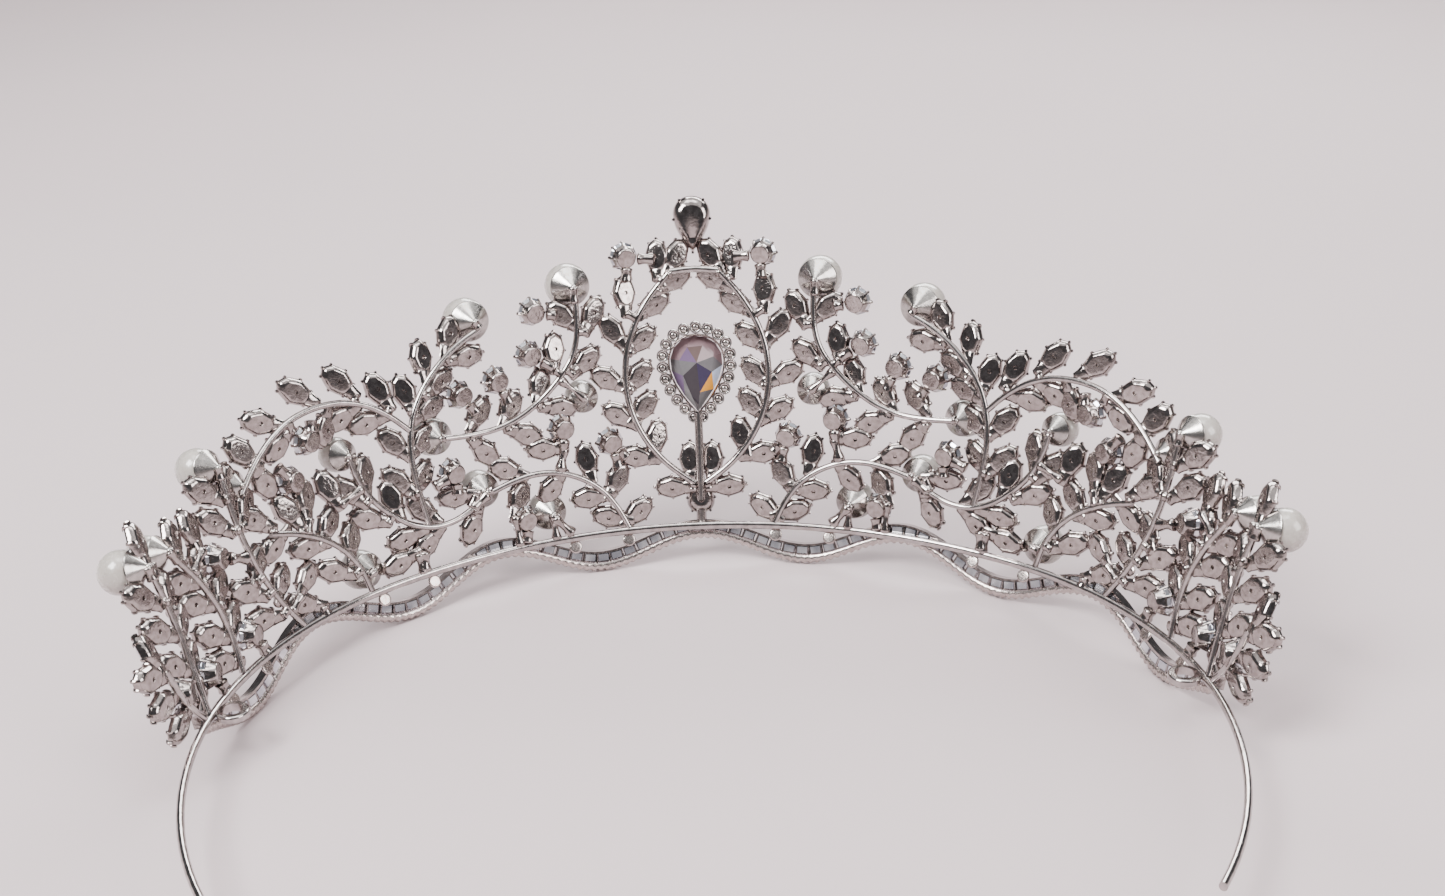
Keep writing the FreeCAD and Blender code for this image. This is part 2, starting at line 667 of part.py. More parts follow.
def solder_joints(side, metal):
    """Short round necks: the listed ones, and one from each setting's foot to the nearest wire."""
    joints = []
    for sprig in SPRIGS.values():
        routes = [neck_route(neck, sprig["rounds"]) for neck in sprig["necks"]]
        joints += [panel_wire(route, side, size("neck_diameter")) for route in routes]
        for foot in feet(side, sprig):
            gap, nearest, _ = Part.Vertex(foot).distToShape(metal)
            if gap > size("open_gap"):
                run = nearest[0][1] - foot
                length = gap + size("joint_bite")
                joints.append(Part.makeCylinder(size("joint_diameter") / 2, length, foot, run))
    return joints


def seated_crystal(outline, floor, rim, crown):
    """A crystal in a closed setting: from just above its floor to a table that stands proud of its rim."""
    girdle = size("stone_girdle")
    levels = [(floor + size("stone_clearance"), CULET_SHARE), (rim - girdle, 1.0), (rim, 1.0),
              (rim + crown, TABLE_SHARE)]
    return faceted(outline, levels)


def leaf_crystal():
    """Navette crystal of a leaf setting."""
    clearance = size("stone_clearance")
    outline = navette(size("leaf_length") - 2 * (size("leaf_end_wall") + clearance),
                      size("leaf_width") - 2 * (size("leaf_wall") + clearance))
    return seated_crystal(outline, size("leaf_floor"), size("leaf_depth"), size("leaf_crown"))


def round_crystal():
    """Round crystal of a cup."""
    hollow = size("cup_back_diameter") - size("cup_wall")
    outline = round_outline(hollow - 2 * size("stone_clearance"))
    return seated_crystal(outline, size("cup_floor"), size("cup_depth"), size("cup_crown"))


def side_nodes(side_name):
    """The crystals, cups, caps and pearls of one side, each kind a group of separate solids."""
    side = SIDES[side_name]
    groups = {"leaf_crystals": [], "cups": [], "cup_crystals": [], "pearl_caps": [], "pearls": []}
    stone = leaf_crystal()
    brilliant = round_crystal()
    for sprig in SPRIGS.values():
        for leaf in sprig["leaves"]:
            groups["leaf_crystals"].append(placed(stone, leaf_place(side, *leaf)))
        for s, h in sprig["rounds"]:
            place = cup_place(side, s, h)
            groups["cups"].append(placed(patterns["cup"].Shape, place))
            groups["cup_crystals"].append(placed(brilliant, place))
        for s, h, pearl in sprig["pearls"]:
            place = cap_place(side, s, h)
            groups["pearl_caps"].append(placed(patterns[f"{pearl}_cap"].Shape, place))
            groups["pearls"].append(placed(patterns[pearl].Shape, place))
    return {f"{side_name}_{kind}": solids for kind, solids in groups.items()}


def pin_loop(side):
    """A pin loop soldered to the inner side of the band, its bore upright."""
    foot, outward = plan(size("loop_station"))
    inset = size("band_thickness") / 2 + size("loop_outer_radius") - size("loop_bite")
    middle = foot - outward * inset
    spot = Vector(side * middle.x, middle.y + size("origin_setback"), BAND_LEVEL)
    return placed(patterns["pin_loop"].Shape, Placement(spot, Rotation()))


def gallery_level(s):
    """Height of the gallery's middle line: a wave with its crests on the band."""
    pitch = size("scallop_pitch")
    crest = size("centre_crest") if abs(s) < pitch / 2 else size("scallop_crest")
    trough = size("scallop_trough")
    return (crest + trough) / 2 + (crest - trough) / 2 * math.cos(2 * math.pi * s / pitch)


def gallery_spans():
    """Start and end of each scallop on one side; the last one is cut short where it meets the band."""
    pitch = size("scallop_pitch")
    reach = size("gallery_reach")
    return [(k * pitch, min((k + 1) * pitch, reach)) for k in range(math.ceil(reach / pitch))]


def gallery_strip(side, span, low, high):
    """A strip of the gallery between two offsets from its middle line, over one scallop."""
    sections = []
    steps = 16
    back = size("gallery_standoff")
    for i in range(steps + 1):
        s = span[0] + (span[1] - span[0]) * i / steps
        level = gallery_level(s)
        corners = [(level + low, back), (level + high, back), (level + high, GALLERY_FRONT),
                   (level + low, GALLERY_FRONT)]
        ring = [panel(side * max(s, OFF_CENTRE), h, d).Base for h, d in corners]
        sections.append(Part.makePolygon(ring + ring[:1]))
    return Part.makeLoft(sections, True, False)


def gallery_nodes():
    """The scalloped gallery: border, rail, the baguettes between them, and the tabs to the band."""
    half = size("gallery_rise") / 2
    border_top = -half + size("border_rise")
    rail_foot = half - size("rail_rise")
    step = size("baguette_length") + size("baguette_gap")
    width = size("baguette_length") / 2
    rise = (rail_foot - border_top) / 2
    outline = [(-width, -rise), (width, -rise), (width, rise), (-width, rise)]
    depth = size("gallery_depth")
    bevel = size("baguette_bevel")
    stone = faceted(outline, [(0.0, BAGUETTE_TABLE_SHARE), (bevel, 1.0), (depth - bevel, 1.0),
                              (depth, BAGUETTE_TABLE_SHARE)])
    borders, rails, baguettes, tabs = [], [], [], []
    for side in SIDES.values():
        for span in gallery_spans():
            borders.append(gallery_strip(side, span, -half, border_top))
            rails.append(gallery_strip(side, span, rail_foot, half))
            count = int((span[1] - span[0]) / step)
            for k in range(count):
                s = span[0] + (span[1] - span[0]) * (k + 0.5) / count
                fall = gallery_level(s + width) - gallery_level(s - width)
                slope = math.degrees(math.atan(fall / (2 * width)))
                middle = gallery_level(s) + (border_top + rail_foot) / 2
                seat = panel(side * s, middle, size("gallery_standoff")).multiply(turn(UP, side * slope))
                baguettes.append(placed(stone, seat))
            for offset in (-size("tab_spread"), size("tab_spread")):
                s = span[0] + size("scallop_pitch") / 2 + offset
                seat = panel(side * s, -size("tab_radius") - size("tab_drop"), size("tab_standoff"))
                tabs.append(placed(Part.makeCylinder(size("tab_radius"), size("tab_thickness")), seat))
    return {"scallop_borders": borders, "scallop_rails": rails, "gallery_baguettes": baguettes,
            "gallery_tabs": tabs}


def pear_setting(width, length, point_up):
    """Pear-shaped cup with a closed back, and its crystal."""
    depth = size("pear_depth")
    floor = size("pear_floor")
    shift = Vector(0, -size("pear_shift") if point_up else size("pear_shift"), 0)
    outer = smooth_face(pear(width, length, point_up=point_up)).extrude(UP * depth)
    inner = pear(width - 2 * size("pear_wall"), length - 2 * size("pear_tip_wall"), point_up=point_up)
    pocket = smooth_face(inner).extrude(UP * depth)
    pocket.translate(shift + UP * floor)
    crystal = seated_crystal(grown(inner, -size("stone_clearance")), floor, depth, size("pear_crown"))
    crystal.translate(shift)
    return outer.cut(pocket), crystal


def halo_spots(seat):
    """Where the halo's cups sit round the bezel, given the drop's own place."""
    drop = pear(size("drop_width"), size("drop_length"))
    reach = size("bezel_wall") + size("halo_cup_diameter") / 2 - size("halo_bite")
    ring = spaced(grown(drop, reach), int(size("halo_count")))
    return [seat.multiply(Placement(Vector(x, y, size("halo_inset")), Rotation())) for x, y in ring]


def centre_nodes():
    """The drop in its halo, the post under it, the finial above and the base setting below."""
    clearance = size("stone_clearance")
    drop = pear(size("drop_width"), size("drop_length"))
    depth = size("bezel_depth")
    ring = smooth_face(grown(drop, size("bezel_wall"))).extrude(UP * depth)
    bezel = ring.cut(smooth_face(drop).extrude(UP * depth))
    crystal = faceted(grown(drop, -clearance), DROP_LEVELS)
    bore = Part.makeCylinder(size("halo_stone_diameter") / 2 + clearance, depth)
    cup = Part.makeCylinder(size("halo_cup_diameter") / 2, size("halo_cup_depth")).cut(bore)
    stone = faceted(round_outline(size("halo_stone_diameter"), 8), HALO_LEVELS)
    seat = panel(0, size("drop_height"), size("drop_standoff"))
    spots = halo_spots(seat)
    finial, finial_crystal = pear_setting(size("finial_width"), size("finial_length"), False)
    base, base_crystal = pear_setting(size("base_width"), size("base_length"), True)
    finial_seat = panel(0, size("finial_height"), size("finial_standoff"))
    base_seat = panel(0, size("base_height"), size("base_standoff"))
    drop_foot = size("drop_height") - size("drop_length") / 2
    post = [panel(0, h).Base for h in (drop_foot, size("base_height") - size("pear_floor"))]
    levels = (size("pedestal_top"), size("pedestal_foot"))
    pedestal = [panel(0, h, size("pedestal_standoff")).Base for h in levels]
    crossbar = [panel(s, h).Base for s, h in CROSSBAR]
    return {
        "drop_bezel": [placed(bezel, seat)],
        "drop_crystal": [placed(crystal, seat)],
        "halo_cups": [placed(cup, spot) for spot in spots],
        "halo_crystals": [placed(stone, spot) for spot in spots],
        "centre_post": [round_wire(post, size("post_diameter"))],
        "base_pedestal": [round_wire(pedestal, size("pedestal_diameter"))],
        "base_setting": [placed(base, base_seat)],
        "base_crystal": [placed(base_crystal, base_seat)],
        "finial_setting": [placed(finial, finial_seat)],
        "finial_crystal": [placed(finial_crystal, finial_seat)],
        "crown_crossbar": [round_wire(crossbar, size("oval_diameter"))],
    }


# ---------------------------------------------------------------- the model

patterns = {"leaf_setting": leaf_setting_pattern(), "cup": cup_pattern(), "pin_loop": pin_loop_pattern()}
for pearl_size in ("large_pearl", "medium_pearl", "small_pearl"):
    patterns[pearl_size] = pearl_pattern(pearl_size)
    patterns[f"{pearl_size}_cap"] = cap_pattern(pearl_size, patterns[pearl_size])
band = headband()
doc.recompute()

groups = {**gallery_nodes(), **centre_nodes()}
for name in SIDES:
    groups[f"{name}_pin_loop"] = [pin_loop(SIDES[name])]
    for sprig in SPRIGS:
        groups.update(sprig_nodes(name, sprig))
    groups.update(side_nodes(name))
    wires = [wire for label in groups if label.startswith(name) and label.endswith("wires")
             for wire in groups[label]]
    metal = Part.makeCompound(wires + [band.Shape] + groups["centre_post"] + groups["crown_crossbar"])
    groups[f"{name}_joints"] = solder_joints(SIDES[name], metal)

nodes = [band]
for label, solids in groups.items():
    piece = doc.addObject("Part::Feature", label)
    piece.Label = label
    piece.Shape = solids[0] if len(solids) == 1 else Part.makeCompound(solids)
    nodes.append(piece)
doc.recompute()

for item in doc.Objects:
    failed = {"Invalid", "Error"} & set(item.State)
    if failed:
        raise RuntimeError(f"{item.Label}: {failed}")
for piece in nodes:
    if piece.Shape.isNull() or not piece.Shape.isValid():
        raise RuntimeError(f"{piece.Label} has no valid shape")
    if any(solid.Volume <= 0 for solid in piece.Shape.Solids):
        raise RuntimeError(f"{piece.Label} holds a solid that is inside out")

os.makedirs("parts", exist_ok=True)
whole = FreeCAD.BoundBox()
for piece in nodes:
    piece.Shape.exportStep(f"parts/{piece.Label}.step")
    whole.add(piece.Shape.BoundBox)
    print(f"{piece.Label}: {len(piece.Shape.Solids)} solids, {piece.Shape.Volume:.1f} mm3")
print("nodes", len(nodes), "box", whole)
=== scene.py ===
"""Looks of the bridal tiara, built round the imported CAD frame.

The headband, wires, post, pedestal, crossbar, pin loops, rails and baguettes keep their CAD meshes.
The settings, caps, pearls, joints and stones are patterns, in millimetres in the frame of their own
CAD solid, set on each of those solids: the solid itself says where it lies and which way it faces.
"""
import math

import bmesh
import bpy
import numpy as np
from mathutils import Matrix, Vector


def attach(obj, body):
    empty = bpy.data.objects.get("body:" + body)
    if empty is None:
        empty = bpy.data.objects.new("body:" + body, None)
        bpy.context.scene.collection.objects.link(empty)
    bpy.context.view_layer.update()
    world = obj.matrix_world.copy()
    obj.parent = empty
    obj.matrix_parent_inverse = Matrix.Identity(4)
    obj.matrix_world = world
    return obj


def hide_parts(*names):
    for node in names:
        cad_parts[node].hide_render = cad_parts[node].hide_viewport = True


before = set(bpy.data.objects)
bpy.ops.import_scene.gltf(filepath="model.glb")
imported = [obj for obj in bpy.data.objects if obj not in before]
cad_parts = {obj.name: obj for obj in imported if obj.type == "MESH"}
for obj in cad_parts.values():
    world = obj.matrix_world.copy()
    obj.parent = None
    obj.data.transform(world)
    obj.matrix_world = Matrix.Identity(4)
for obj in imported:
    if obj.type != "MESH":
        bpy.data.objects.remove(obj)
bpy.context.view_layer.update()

MM = 0.001
SIDES = ("left", "right")
SPRIGS = ("oval", "plume", "foot", "arch", "scroll", "laurel", "spray")

# ---------------------------------------------------- sizes of the CAD part, in millimetres

HALF_WIDTH = 70.0
FRONT_RADIUS = 78.0
FRONT_ANGLE = math.radians(39.5)
FLARE = math.radians(17.5)
SETBACK = 21.0
BAND_LEVEL = 6.56
SCALLOP_PITCH = 33.5
SCALLOP_CREST = 0.5
CENTRE_CREST = -0.6
SCALLOP_TROUGH = -4.6
GALLERY_REACH = 97.0
GALLERY_RISE = 3.2
GALLERY_MIDDLE = 1.35
BORDER_RISE = 1.5
RAIL_RISE = 0.35
BAGUETTE_STEP = 2.2
LEAF_LENGTH = 6.0
LEAF_WIDTH = 3.9
LEAF_DEPTH = 1.5
CAP_ANGLE = math.radians(50.0)
CAP_SLOPE = math.tan(CAP_ANGLE)
DROP_HEIGHT = 25.2
FINIAL_HEIGHT = 49.8
BASE_HEIGHT = 5.0

# ---------------------------------------------------- sizes of the visual shapes, in millimetres

LEAF_CLAW_ANGLES = [math.radians(a) for a in (42, 90, 138, 222, 270, 318)]
LEAF_STONE_SCALE = 0.86
LEAF_BLUNTNESS = 0.2
BULGE_SPREAD = 0.17
BULGE_HEIGHT = 0.14
BULGE_MEAN = 0.35
CUP_CLAW_RADIUS = 2.33
CUP_STONE_RADIUS = 2.26
HALO_CLAW_RADIUS = 0.95
CAP_RIM = 0.88
PEAR_DEPTH = 2.4
PEAR_STONE_SCALE = 0.88
PEAR_WIDEST = 0.7698  # the peak of the sine product in pear_outline
DROP_WIDTH = 8.75
DROP_LENGTH = 12.6
DROP_CULET = 1.95
BEZEL_WIDTH = 8.85
BEZEL_LENGTH = 12.65
BEZEL_WALL = 0.36
BEZEL_DEPTH = 2.6
ROPE_STEP = 0.22
ROPE_TWIST = 1.15
TAB_TILT = math.radians(-14)
OFF_MIDDLE = 0.001  # nearest that a row starts to the middle, to stay on its own side

# ---------------------------------------------------- camera, in metres and degrees

CAMERA_PLACE = (0.00325, 0.22756, 0.14189)
CAMERA_LENS_MM = 44.84
CAMERA_HEADING = 178.51
CAMERA_PITCH = -24.38
CAMERA_ROLL = -1.40
FLOOR_RADIUS = 1.35

# ---------------------------------------------------- the drop's tone and painted reflections

# The stone's own faint violet-pink, with painted reflections that differ facet by facet: the
# darkest tints are painted dark reflections, the pale blue a painted glint and the orange a painted
# flash of fire.
ROSE = (0.10, 0.065, 0.06)
PINK = (0.21, 0.14, 0.15)
LILAC = (0.14, 0.095, 0.17)
GREY = (0.14, 0.135, 0.14)
VIOLET = (0.02, 0.014, 0.05)
SLATE = (0.022, 0.018, 0.024)
PALE_BLUE_GLINT = (0.55, 0.62, 0.78)
ORANGE_FIRE = (0.80, 0.36, 0.05)

# Tints by direction from the culet: the stone's own tone with painted reflections, each up to its
# limit in degrees clockwise from up, seen from behind: those near the culet or on the front, and
# those near the girdle.
INNER_TONES_AND_REFLECTIONS = ((21, ROSE), (72, PINK), (124, GREY), (175, VIOLET), (227, SLATE), (278, GREY),
               (330, LILAC), (360, ROSE))
OUTER_TONES_AND_REFLECTIONS = ((21, PINK), (85, PINK), (112, GREY), (136, PALE_BLUE_GLINT), (160, ORANGE_FIRE), (200, GREY),
               (215, SLATE), (240, LILAC), (278, GREY), (360, PINK))

# ---------------------------------------------------- the panel that carries the tiara

SIDE_RADIUS = ((HALF_WIDTH - FRONT_RADIUS * math.sin(FRONT_ANGLE))
               / (1 - math.sin(FRONT_ANGLE)))
FRONT_LENGTH = FRONT_RADIUS * FRONT_ANGLE


def panel(s, h, d=0.0):
    """Place s along the band, h up the wall and d out to the front: x along, y up and z out."""
    side = -1 if s < 0 else 1
    if abs(s) <= FRONT_LENGTH:
        heading = abs(s) / FRONT_RADIUS
        radius = FRONT_RADIUS
        centre = Vector((0, (FRONT_RADIUS - SIDE_RADIUS) * math.cos(FRONT_ANGLE), 0))
    else:
        heading = FRONT_ANGLE + (abs(s) - FRONT_LENGTH) / SIDE_RADIUS
        radius = SIDE_RADIUS
        centre = Vector(((FRONT_RADIUS - SIDE_RADIUS) * math.sin(FRONT_ANGLE), 0, 0))
    foot = centre + Vector((math.sin(heading), -math.cos(heading), 0)) * radius
    out = Vector((side * math.sin(heading), -math.cos(heading), 0))
    up = Vector((0, 0, 1))
    along = up.cross(out)
    rise = out * math.sin(FLARE) + up * math.cos(FLARE)
    face = out * math.cos(FLARE) - up * math.sin(FLARE)
    spot = Vector((side * foot.x, foot.y + SETBACK, BAND_LEVEL)) + rise * h + face * d
    place = Matrix((along, rise, face)).transposed().to_4x4()
    place.translation = spot
    return place


def gallery_level(s):
    """Height of the gallery's middle line: a wave with its crests on the band."""
    crest = CENTRE_CREST if abs(s) < SCALLOP_PITCH / 2 else SCALLOP_CREST
    swing = (crest - SCALLOP_TROUGH) / 2
    return (crest + SCALLOP_TROUGH) / 2 + swing * math.cos(2 * math.pi * s / SCALLOP_PITCH)


# ---------------------------------------------------- reading the CAD solids


def cad_mesh(node):
    """A CAD node's corners, in millimetres and welded, and its triangles."""
    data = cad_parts[node].data
    data.calc_loop_triangles()
    corners = np.zeros(len(data.vertices) * 3)
    data.vertices.foreach_get("co", corners)
    corners = corners.reshape(-1, 3) / MM
    triangles = np.zeros(len(data.loop_triangles) * 3, dtype=np.int64)
    data.loop_triangles.foreach_get("vertices", triangles)
    _, first, weld = np.unique(np.round(corners, 4), axis=0, return_index=True,
                               return_inverse=True)
    return corners[first], weld.reshape(-1)[triangles].reshape(-1, 3)


def solids(node):
    """The separate solids of a CAD node: (corners, triangles) of each."""
    corners, triangles = cad_mesh(node)
    label = np.arange(len(corners))
    while True:
        lowest = label[triangles].min(axis=1)
        fresh = label.copy()
        for column in range(3):
            np.minimum.at(fresh, triangles[:, column], lowest)
        fresh = fresh[fresh]
        if (fresh == label).all():
            break
        label = fresh
    found = []
    for mark in np.unique(label[triangles[:, 0]]):
        own = triangles[label[triangles[:, 0]] == mark]
        used, packed = np.unique(own, return_inverse=True)
        found.append((corners[used], packed.reshape(-1, 3)))
    return found


def flats(corners, triangles):
    """A solid's flat faces: (outward normal, area, number of triangles, middle), largest first."""
    a, b, c = (corners[triangles[:, i]] for i in range(3))
    cross = np.cross(b - a, c - a)
    area = np.linalg.norm(cross, axis=1) / 2
    keep = area > 1e-7
    normal = cross[keep] / (2 * area[keep, None])
    middle = (a + b + c)[keep] / 3
    area = area[keep]
    offset = (normal * middle).sum(axis=1)
    keys = np.round(np.column_stack([normal * 50, offset * 20])).astype(np.int64)
    _, group = np.unique(keys, axis=0, return_inverse=True)
    group = group.reshape(-1)
    faces = []
    for g in range(group.max() + 1):
        own = group == g
        weight = area[own][:, None]
        centre = (middle[own] * weight).sum(axis=0) / weight.sum()
        mean = (normal[own] * weight).sum(axis=0) / weight.sum()
        faces.append((mean / np.linalg.norm(mean), weight.sum(), own.sum(), centre))
    return sorted(faces, key=lambda face: -face[1])


def framed(origin, x_axis, z_axis):
    """A place from its origin, its z axis and a direction near its x axis."""
    z_axis = Vector(z_axis).normalized()
    y_axis = z_axis.cross(Vector(x_axis)).normalized()
    place = Matrix((y_axis.cross(z_axis), y_axis, z_axis)).transposed().to_4x4()
    place.translation = Vector(origin)
    return place


def leaf_place(corners, triangles):
    """Frame of a leaf setting: origin in the middle of its back, x to its tip, z to its front."""
    back, _, _, middle = flats(corners, triangles)[0]
    front = -back
    depth = (corners - middle) @ front
    rim = corners[depth > LEAF_DEPTH - 0.05]
    long_axis = np.linalg.svd(rim - rim.mean(axis=0), full_matrices=False)[2][0]
    reach = rim @ long_axis
    centre = rim.mean(axis=0) + long_axis * ((reach.max() + reach.min()) / 2 - reach.mean())
    along = (corners - centre) @ long_axis
    tip = long_axis if along.max() < -along.min() else -long_axis
    return framed(centre - front * LEAF_DEPTH, tip, front)


def cup_place(corners, triangles):
    """Frame of a round piece: origin in the middle of the back that faces the head, z to front."""
    for back, _, _, middle in flats(corners, triangles):
        if ((corners - middle) @ back).max() < 0.05 and back[:2] @ middle[:2] < 0:
            return framed(middle, (0, 0, 1), -back)


def pearl_place(corners):
    """Middle and radius of a pearl."""
    low = corners.min(axis=0)
    high = corners.max(axis=0)
    return (low + high) / 2, (high - low).mean() / 2


def joint_place(corners, triangles):
    """Frame of a joint between a setting and a wire, z along it, with its length and radius."""
    heading, area, _, middle = max(flats(corners, triangles), key=lambda face: face[2])
    reach = corners @ heading
    place = framed(middle, (0.3, 0.2, 1), -heading)
    return place, reach.max() - reach.min(), math.sqrt(area / math.pi)


# ---------------------------------------------------- making meshes


def make_piece(name, points, faces, material, node=None, slot="setting_metal", smooth_angle=40):
    """A mesh piece in metres from millimetre points, riding on the tiara.

    node is the CAD node, or nodes, that it stands for; a smooth_angle of 0 leaves its facets flat.
    """
    data = bpy.data.meshes.new(name)
    data.from_pydata([tuple(p) for p in np.asarray(points) * MM], [], faces)
    data.update()
    data.materials.append(material)
    piece = bpy.data.objects.new(name, data)
    bpy.context.scene.collection.objects.link(piece)
    if smooth_angle:
        data.polygons.foreach_set("use_smooth", [True] * len(data.polygons))
        data.set_sharp_from_angle(angle=math.radians(smooth_angle))
    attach(piece, "root")
    if node:
        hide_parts(*([node] if isinstance(node, str) else node))
    return piece


def angles(count):
    """Equal steps round a circle."""
    return [2 * math.pi * i / count for i in range(count)]


def circle(radius, z, count):
    """A ring of points about z."""
    return [(radius * math.cos(angle), radius * math.sin(angle), z) for angle in angles(count)]


def repeat(pattern, places):
    """A pattern's points and faces set at every place, as one mesh."""
    points, faces = pattern
    points = np.asarray(points)
    all_points = []
    all_faces = []
    for place in places:
        turn = np.array(place.to_3x3())
        base = len(all_points) * len(points)
        all_points.append(points @ turn.T + np.array(place.translation))
        all_faces += [tuple(base + i for i in face) for face in faces]
    return np.concatenate(all_points), all_faces


def joined(*parts):
    """Several (points, faces) as one."""
    points = []
    faces = []
    for part_points, part_faces in parts:
        base = len(points)
        points += [tuple(p) for p in part_points]
        faces += [tuple(base + i for i in face) for face in part_faces]
    return points, faces


def skin(rings, close_start=True, close_end=True):
    """Quads between equal closed rings of points, with the ends closed."""
    count = len(rings[0])
    faces = []
    for k in range(len(rings) - 1):
        for i in range(count):
            j = (i + 1) % count
            faces.append((k * count + i, k * count + j, (k + 1) * count + j, (k + 1) * count + i))
    if close_start:
        faces.append(tuple(reversed(range(count))))
    if close_end:
        faces.append(tuple((len(rings) - 1) * count + i for i in range(count)))
    return [p for ring in rings for p in ring], faces


def turned(profile, count):
    """A surface of revolution about z from (radius, z) points, with flat ends."""
    return skin([circle(radius, z, count) for radius, z in profile])


def gem(outline, levels):
    """A cut stone: the hull of its outline(angle) at (z, scale, half steps turned, corners)."""
    points = []
    for z, scale, half_step, count in levels:
        for i in range(count):
            x, y = outline(2 * math.pi * ((i + half_step / 2) / count))
            points.append((x * scale, y * scale, z))
    return hull_of(points)


def hull_of(points):
    """The convex hull of some points, its flat facets whole."""
    hull = bmesh.new()
    for point in points:
        hull.verts.new(point)
    bmesh.ops.convex_hull(hull, input=hull.verts)
    loose = [v for v in hull.verts if not v.link_faces]
    bmesh.ops.delete(hull, geom=loose, context="VERTS")
    bmesh.ops.dissolve_limit(hull, angle_limit=math.radians(1), verts=hull.verts, edges=hull.edges)
    bmesh.ops.recalc_face_normals(hull, faces=hull.faces)
    hull.verts.index_update()
    corners = [tuple(v.co) for v in hull.verts]
    faces = [tuple(v.index for v in f.verts) for f in hull.faces]
    hull.free()
    return corners, faces


# ---------------------------------------------------- materials


def shader(name):
    """A new material with its Principled shader and node tree."""
    material = bpy.data.materials.new(name)
    material.use_nodes = True
    tree = material.node_tree
    return material, tree, tree.nodes["Principled BSDF"]


def noise(tree, scale, detail=2.0, distortion=0.0):
    """Noise in object space; scale is in features per metre."""
    where = tree.nodes.new("ShaderNodeTexCoord")
    texture = tree.nodes.new("ShaderNodeTexNoise")
    texture.inputs["Scale"].default_value = scale
    texture.inputs["Detail"].default_value = detail
    texture.inputs["Distortion"].default_value = distortion
    tree.links.new(where.outputs["Object"], texture.inputs["Vector"])
    return texture.outputs["Fac"]


def ramp(tree, value, stops):
    """A colour ramp over a value; stops are (position, colour)."""
    node = tree.nodes.new("ShaderNodeValToRGB")
    while len(node.color_ramp.elements) < len(stops):
        node.color_ramp.elements.new(0.5)
    for element, (position, colour) in zip(node.color_ramp.elements, stops):
        element.position = position
        element.color = (*colour, 1.0)
    tree.links.new(value, node.inputs["Fac"])
    return node.outputs["Color"]


def spread(tree, value, low, high):
    """A value from 0..1 mapped to low..high."""
    node = tree.nodes.new("ShaderNodeMapRange")
    node.inputs["To Min"].default_value = low
    node.inputs["To Max"].default_value = high
    tree.links.new(value, node.inputs["Value"])
    return node.outputs["Result"]


def roughness(tree, bsdf, scale, detail, low, high):
    """Roughness that wanders between two values."""
    tree.links.new(spread(tree, noise(tree, scale, detail), low, high), bsdf.inputs["Roughness"])


def bump(tree, bsdf, value, depth):
    """Bump of that depth, in metres, on the shader."""
    node = tree.nodes.new("ShaderNodeBump")
    node.inputs["Strength"].default_value = 1.0
    node.inputs["Distance"].default_value = depth
    tree.links.new(value, node.inputs["Height"])
    tree.links.new(node.outputs["Normal"], bsdf.inputs["Normal"])


def polished_metal(name, dark, light, rough_low, rough_high, grain, depth):
    """Rhodium-look plating: bright, with faint casting ripples and handling haze."""
    material, tree, bsdf = shader(name)
    bsdf.inputs["Metallic"].default_value = 1.0
    haze = noise(tree, grain, 4.0)
    tree.links.new(ramp(tree, haze, [(0.35, dark), (0.65, light)]), bsdf.inputs["Base Color"])
    roughness(tree, bsdf, grain * 2.6, 3.0, rough_low, rough_high)
    bump(tree, bsdf, noise(tree, grain * 1.4, 2.0, 0.4), depth)
    return material


def foiled_crystal(name, dark, light):
    """Crystal backed with foil: bright mirror facets under a clear surface."""
    material, tree, bsdf = shader(name)
    cloud = ramp(tree, noise(tree, 380.0, 1.0), [(0.35, dark), (0.65, light)])
    tree.links.new(cloud, bsdf.inputs["Base Color"])
    roughness(tree, bsdf, 2500.0, 2.0, 0.03, 0.09)
    bsdf.inputs["Metallic"].default_value = 0.85
    bsdf.inputs["Coat Weight"].default_value = 1.0
    bsdf.inputs["Coat Roughness"].default_value = 0.02
    bsdf.inputs["Coat IOR"].default_value = 1.6
    return material


def faceted_crystal(name):
    """The drop's crystal: each facet keeps a fixed tint, its own tone with a painted reflection."""
    material, tree, bsdf = shader(name)
    tone_and_reflection = tree.nodes.new("ShaderNodeAttribute")
    tone_and_reflection.attribute_name = "facet_tone_and_reflection"
    streak = ramp(tree, noise(tree, 900.0, 3.0, 1.5),
                  [(0.35, (0.86, 0.85, 0.88)), (0.7, (1, 1, 1))])
    mix = tree.nodes.new("ShaderNodeMix")
    mix.data_type = "RGBA"
    mix.blend_type = "MULTIPLY"
    mix.inputs["Factor"].default_value = 0.6
    tree.links.new(tone_and_reflection.outputs["Color"], mix.inputs["A"])
    tree.links.new(streak, mix.inputs["B"])
    tree.links.new(mix.outputs["Result"], bsdf.inputs["Base Color"])
    roughness(tree, bsdf, 2500.0, 2.0, 0.02, 0.07)
    bsdf.inputs["IOR"].default_value = 1.45
    bsdf.inputs["Coat Weight"].default_value = 0.1
    bsdf.inputs["Coat Roughness"].default_value = 0.02
    return material


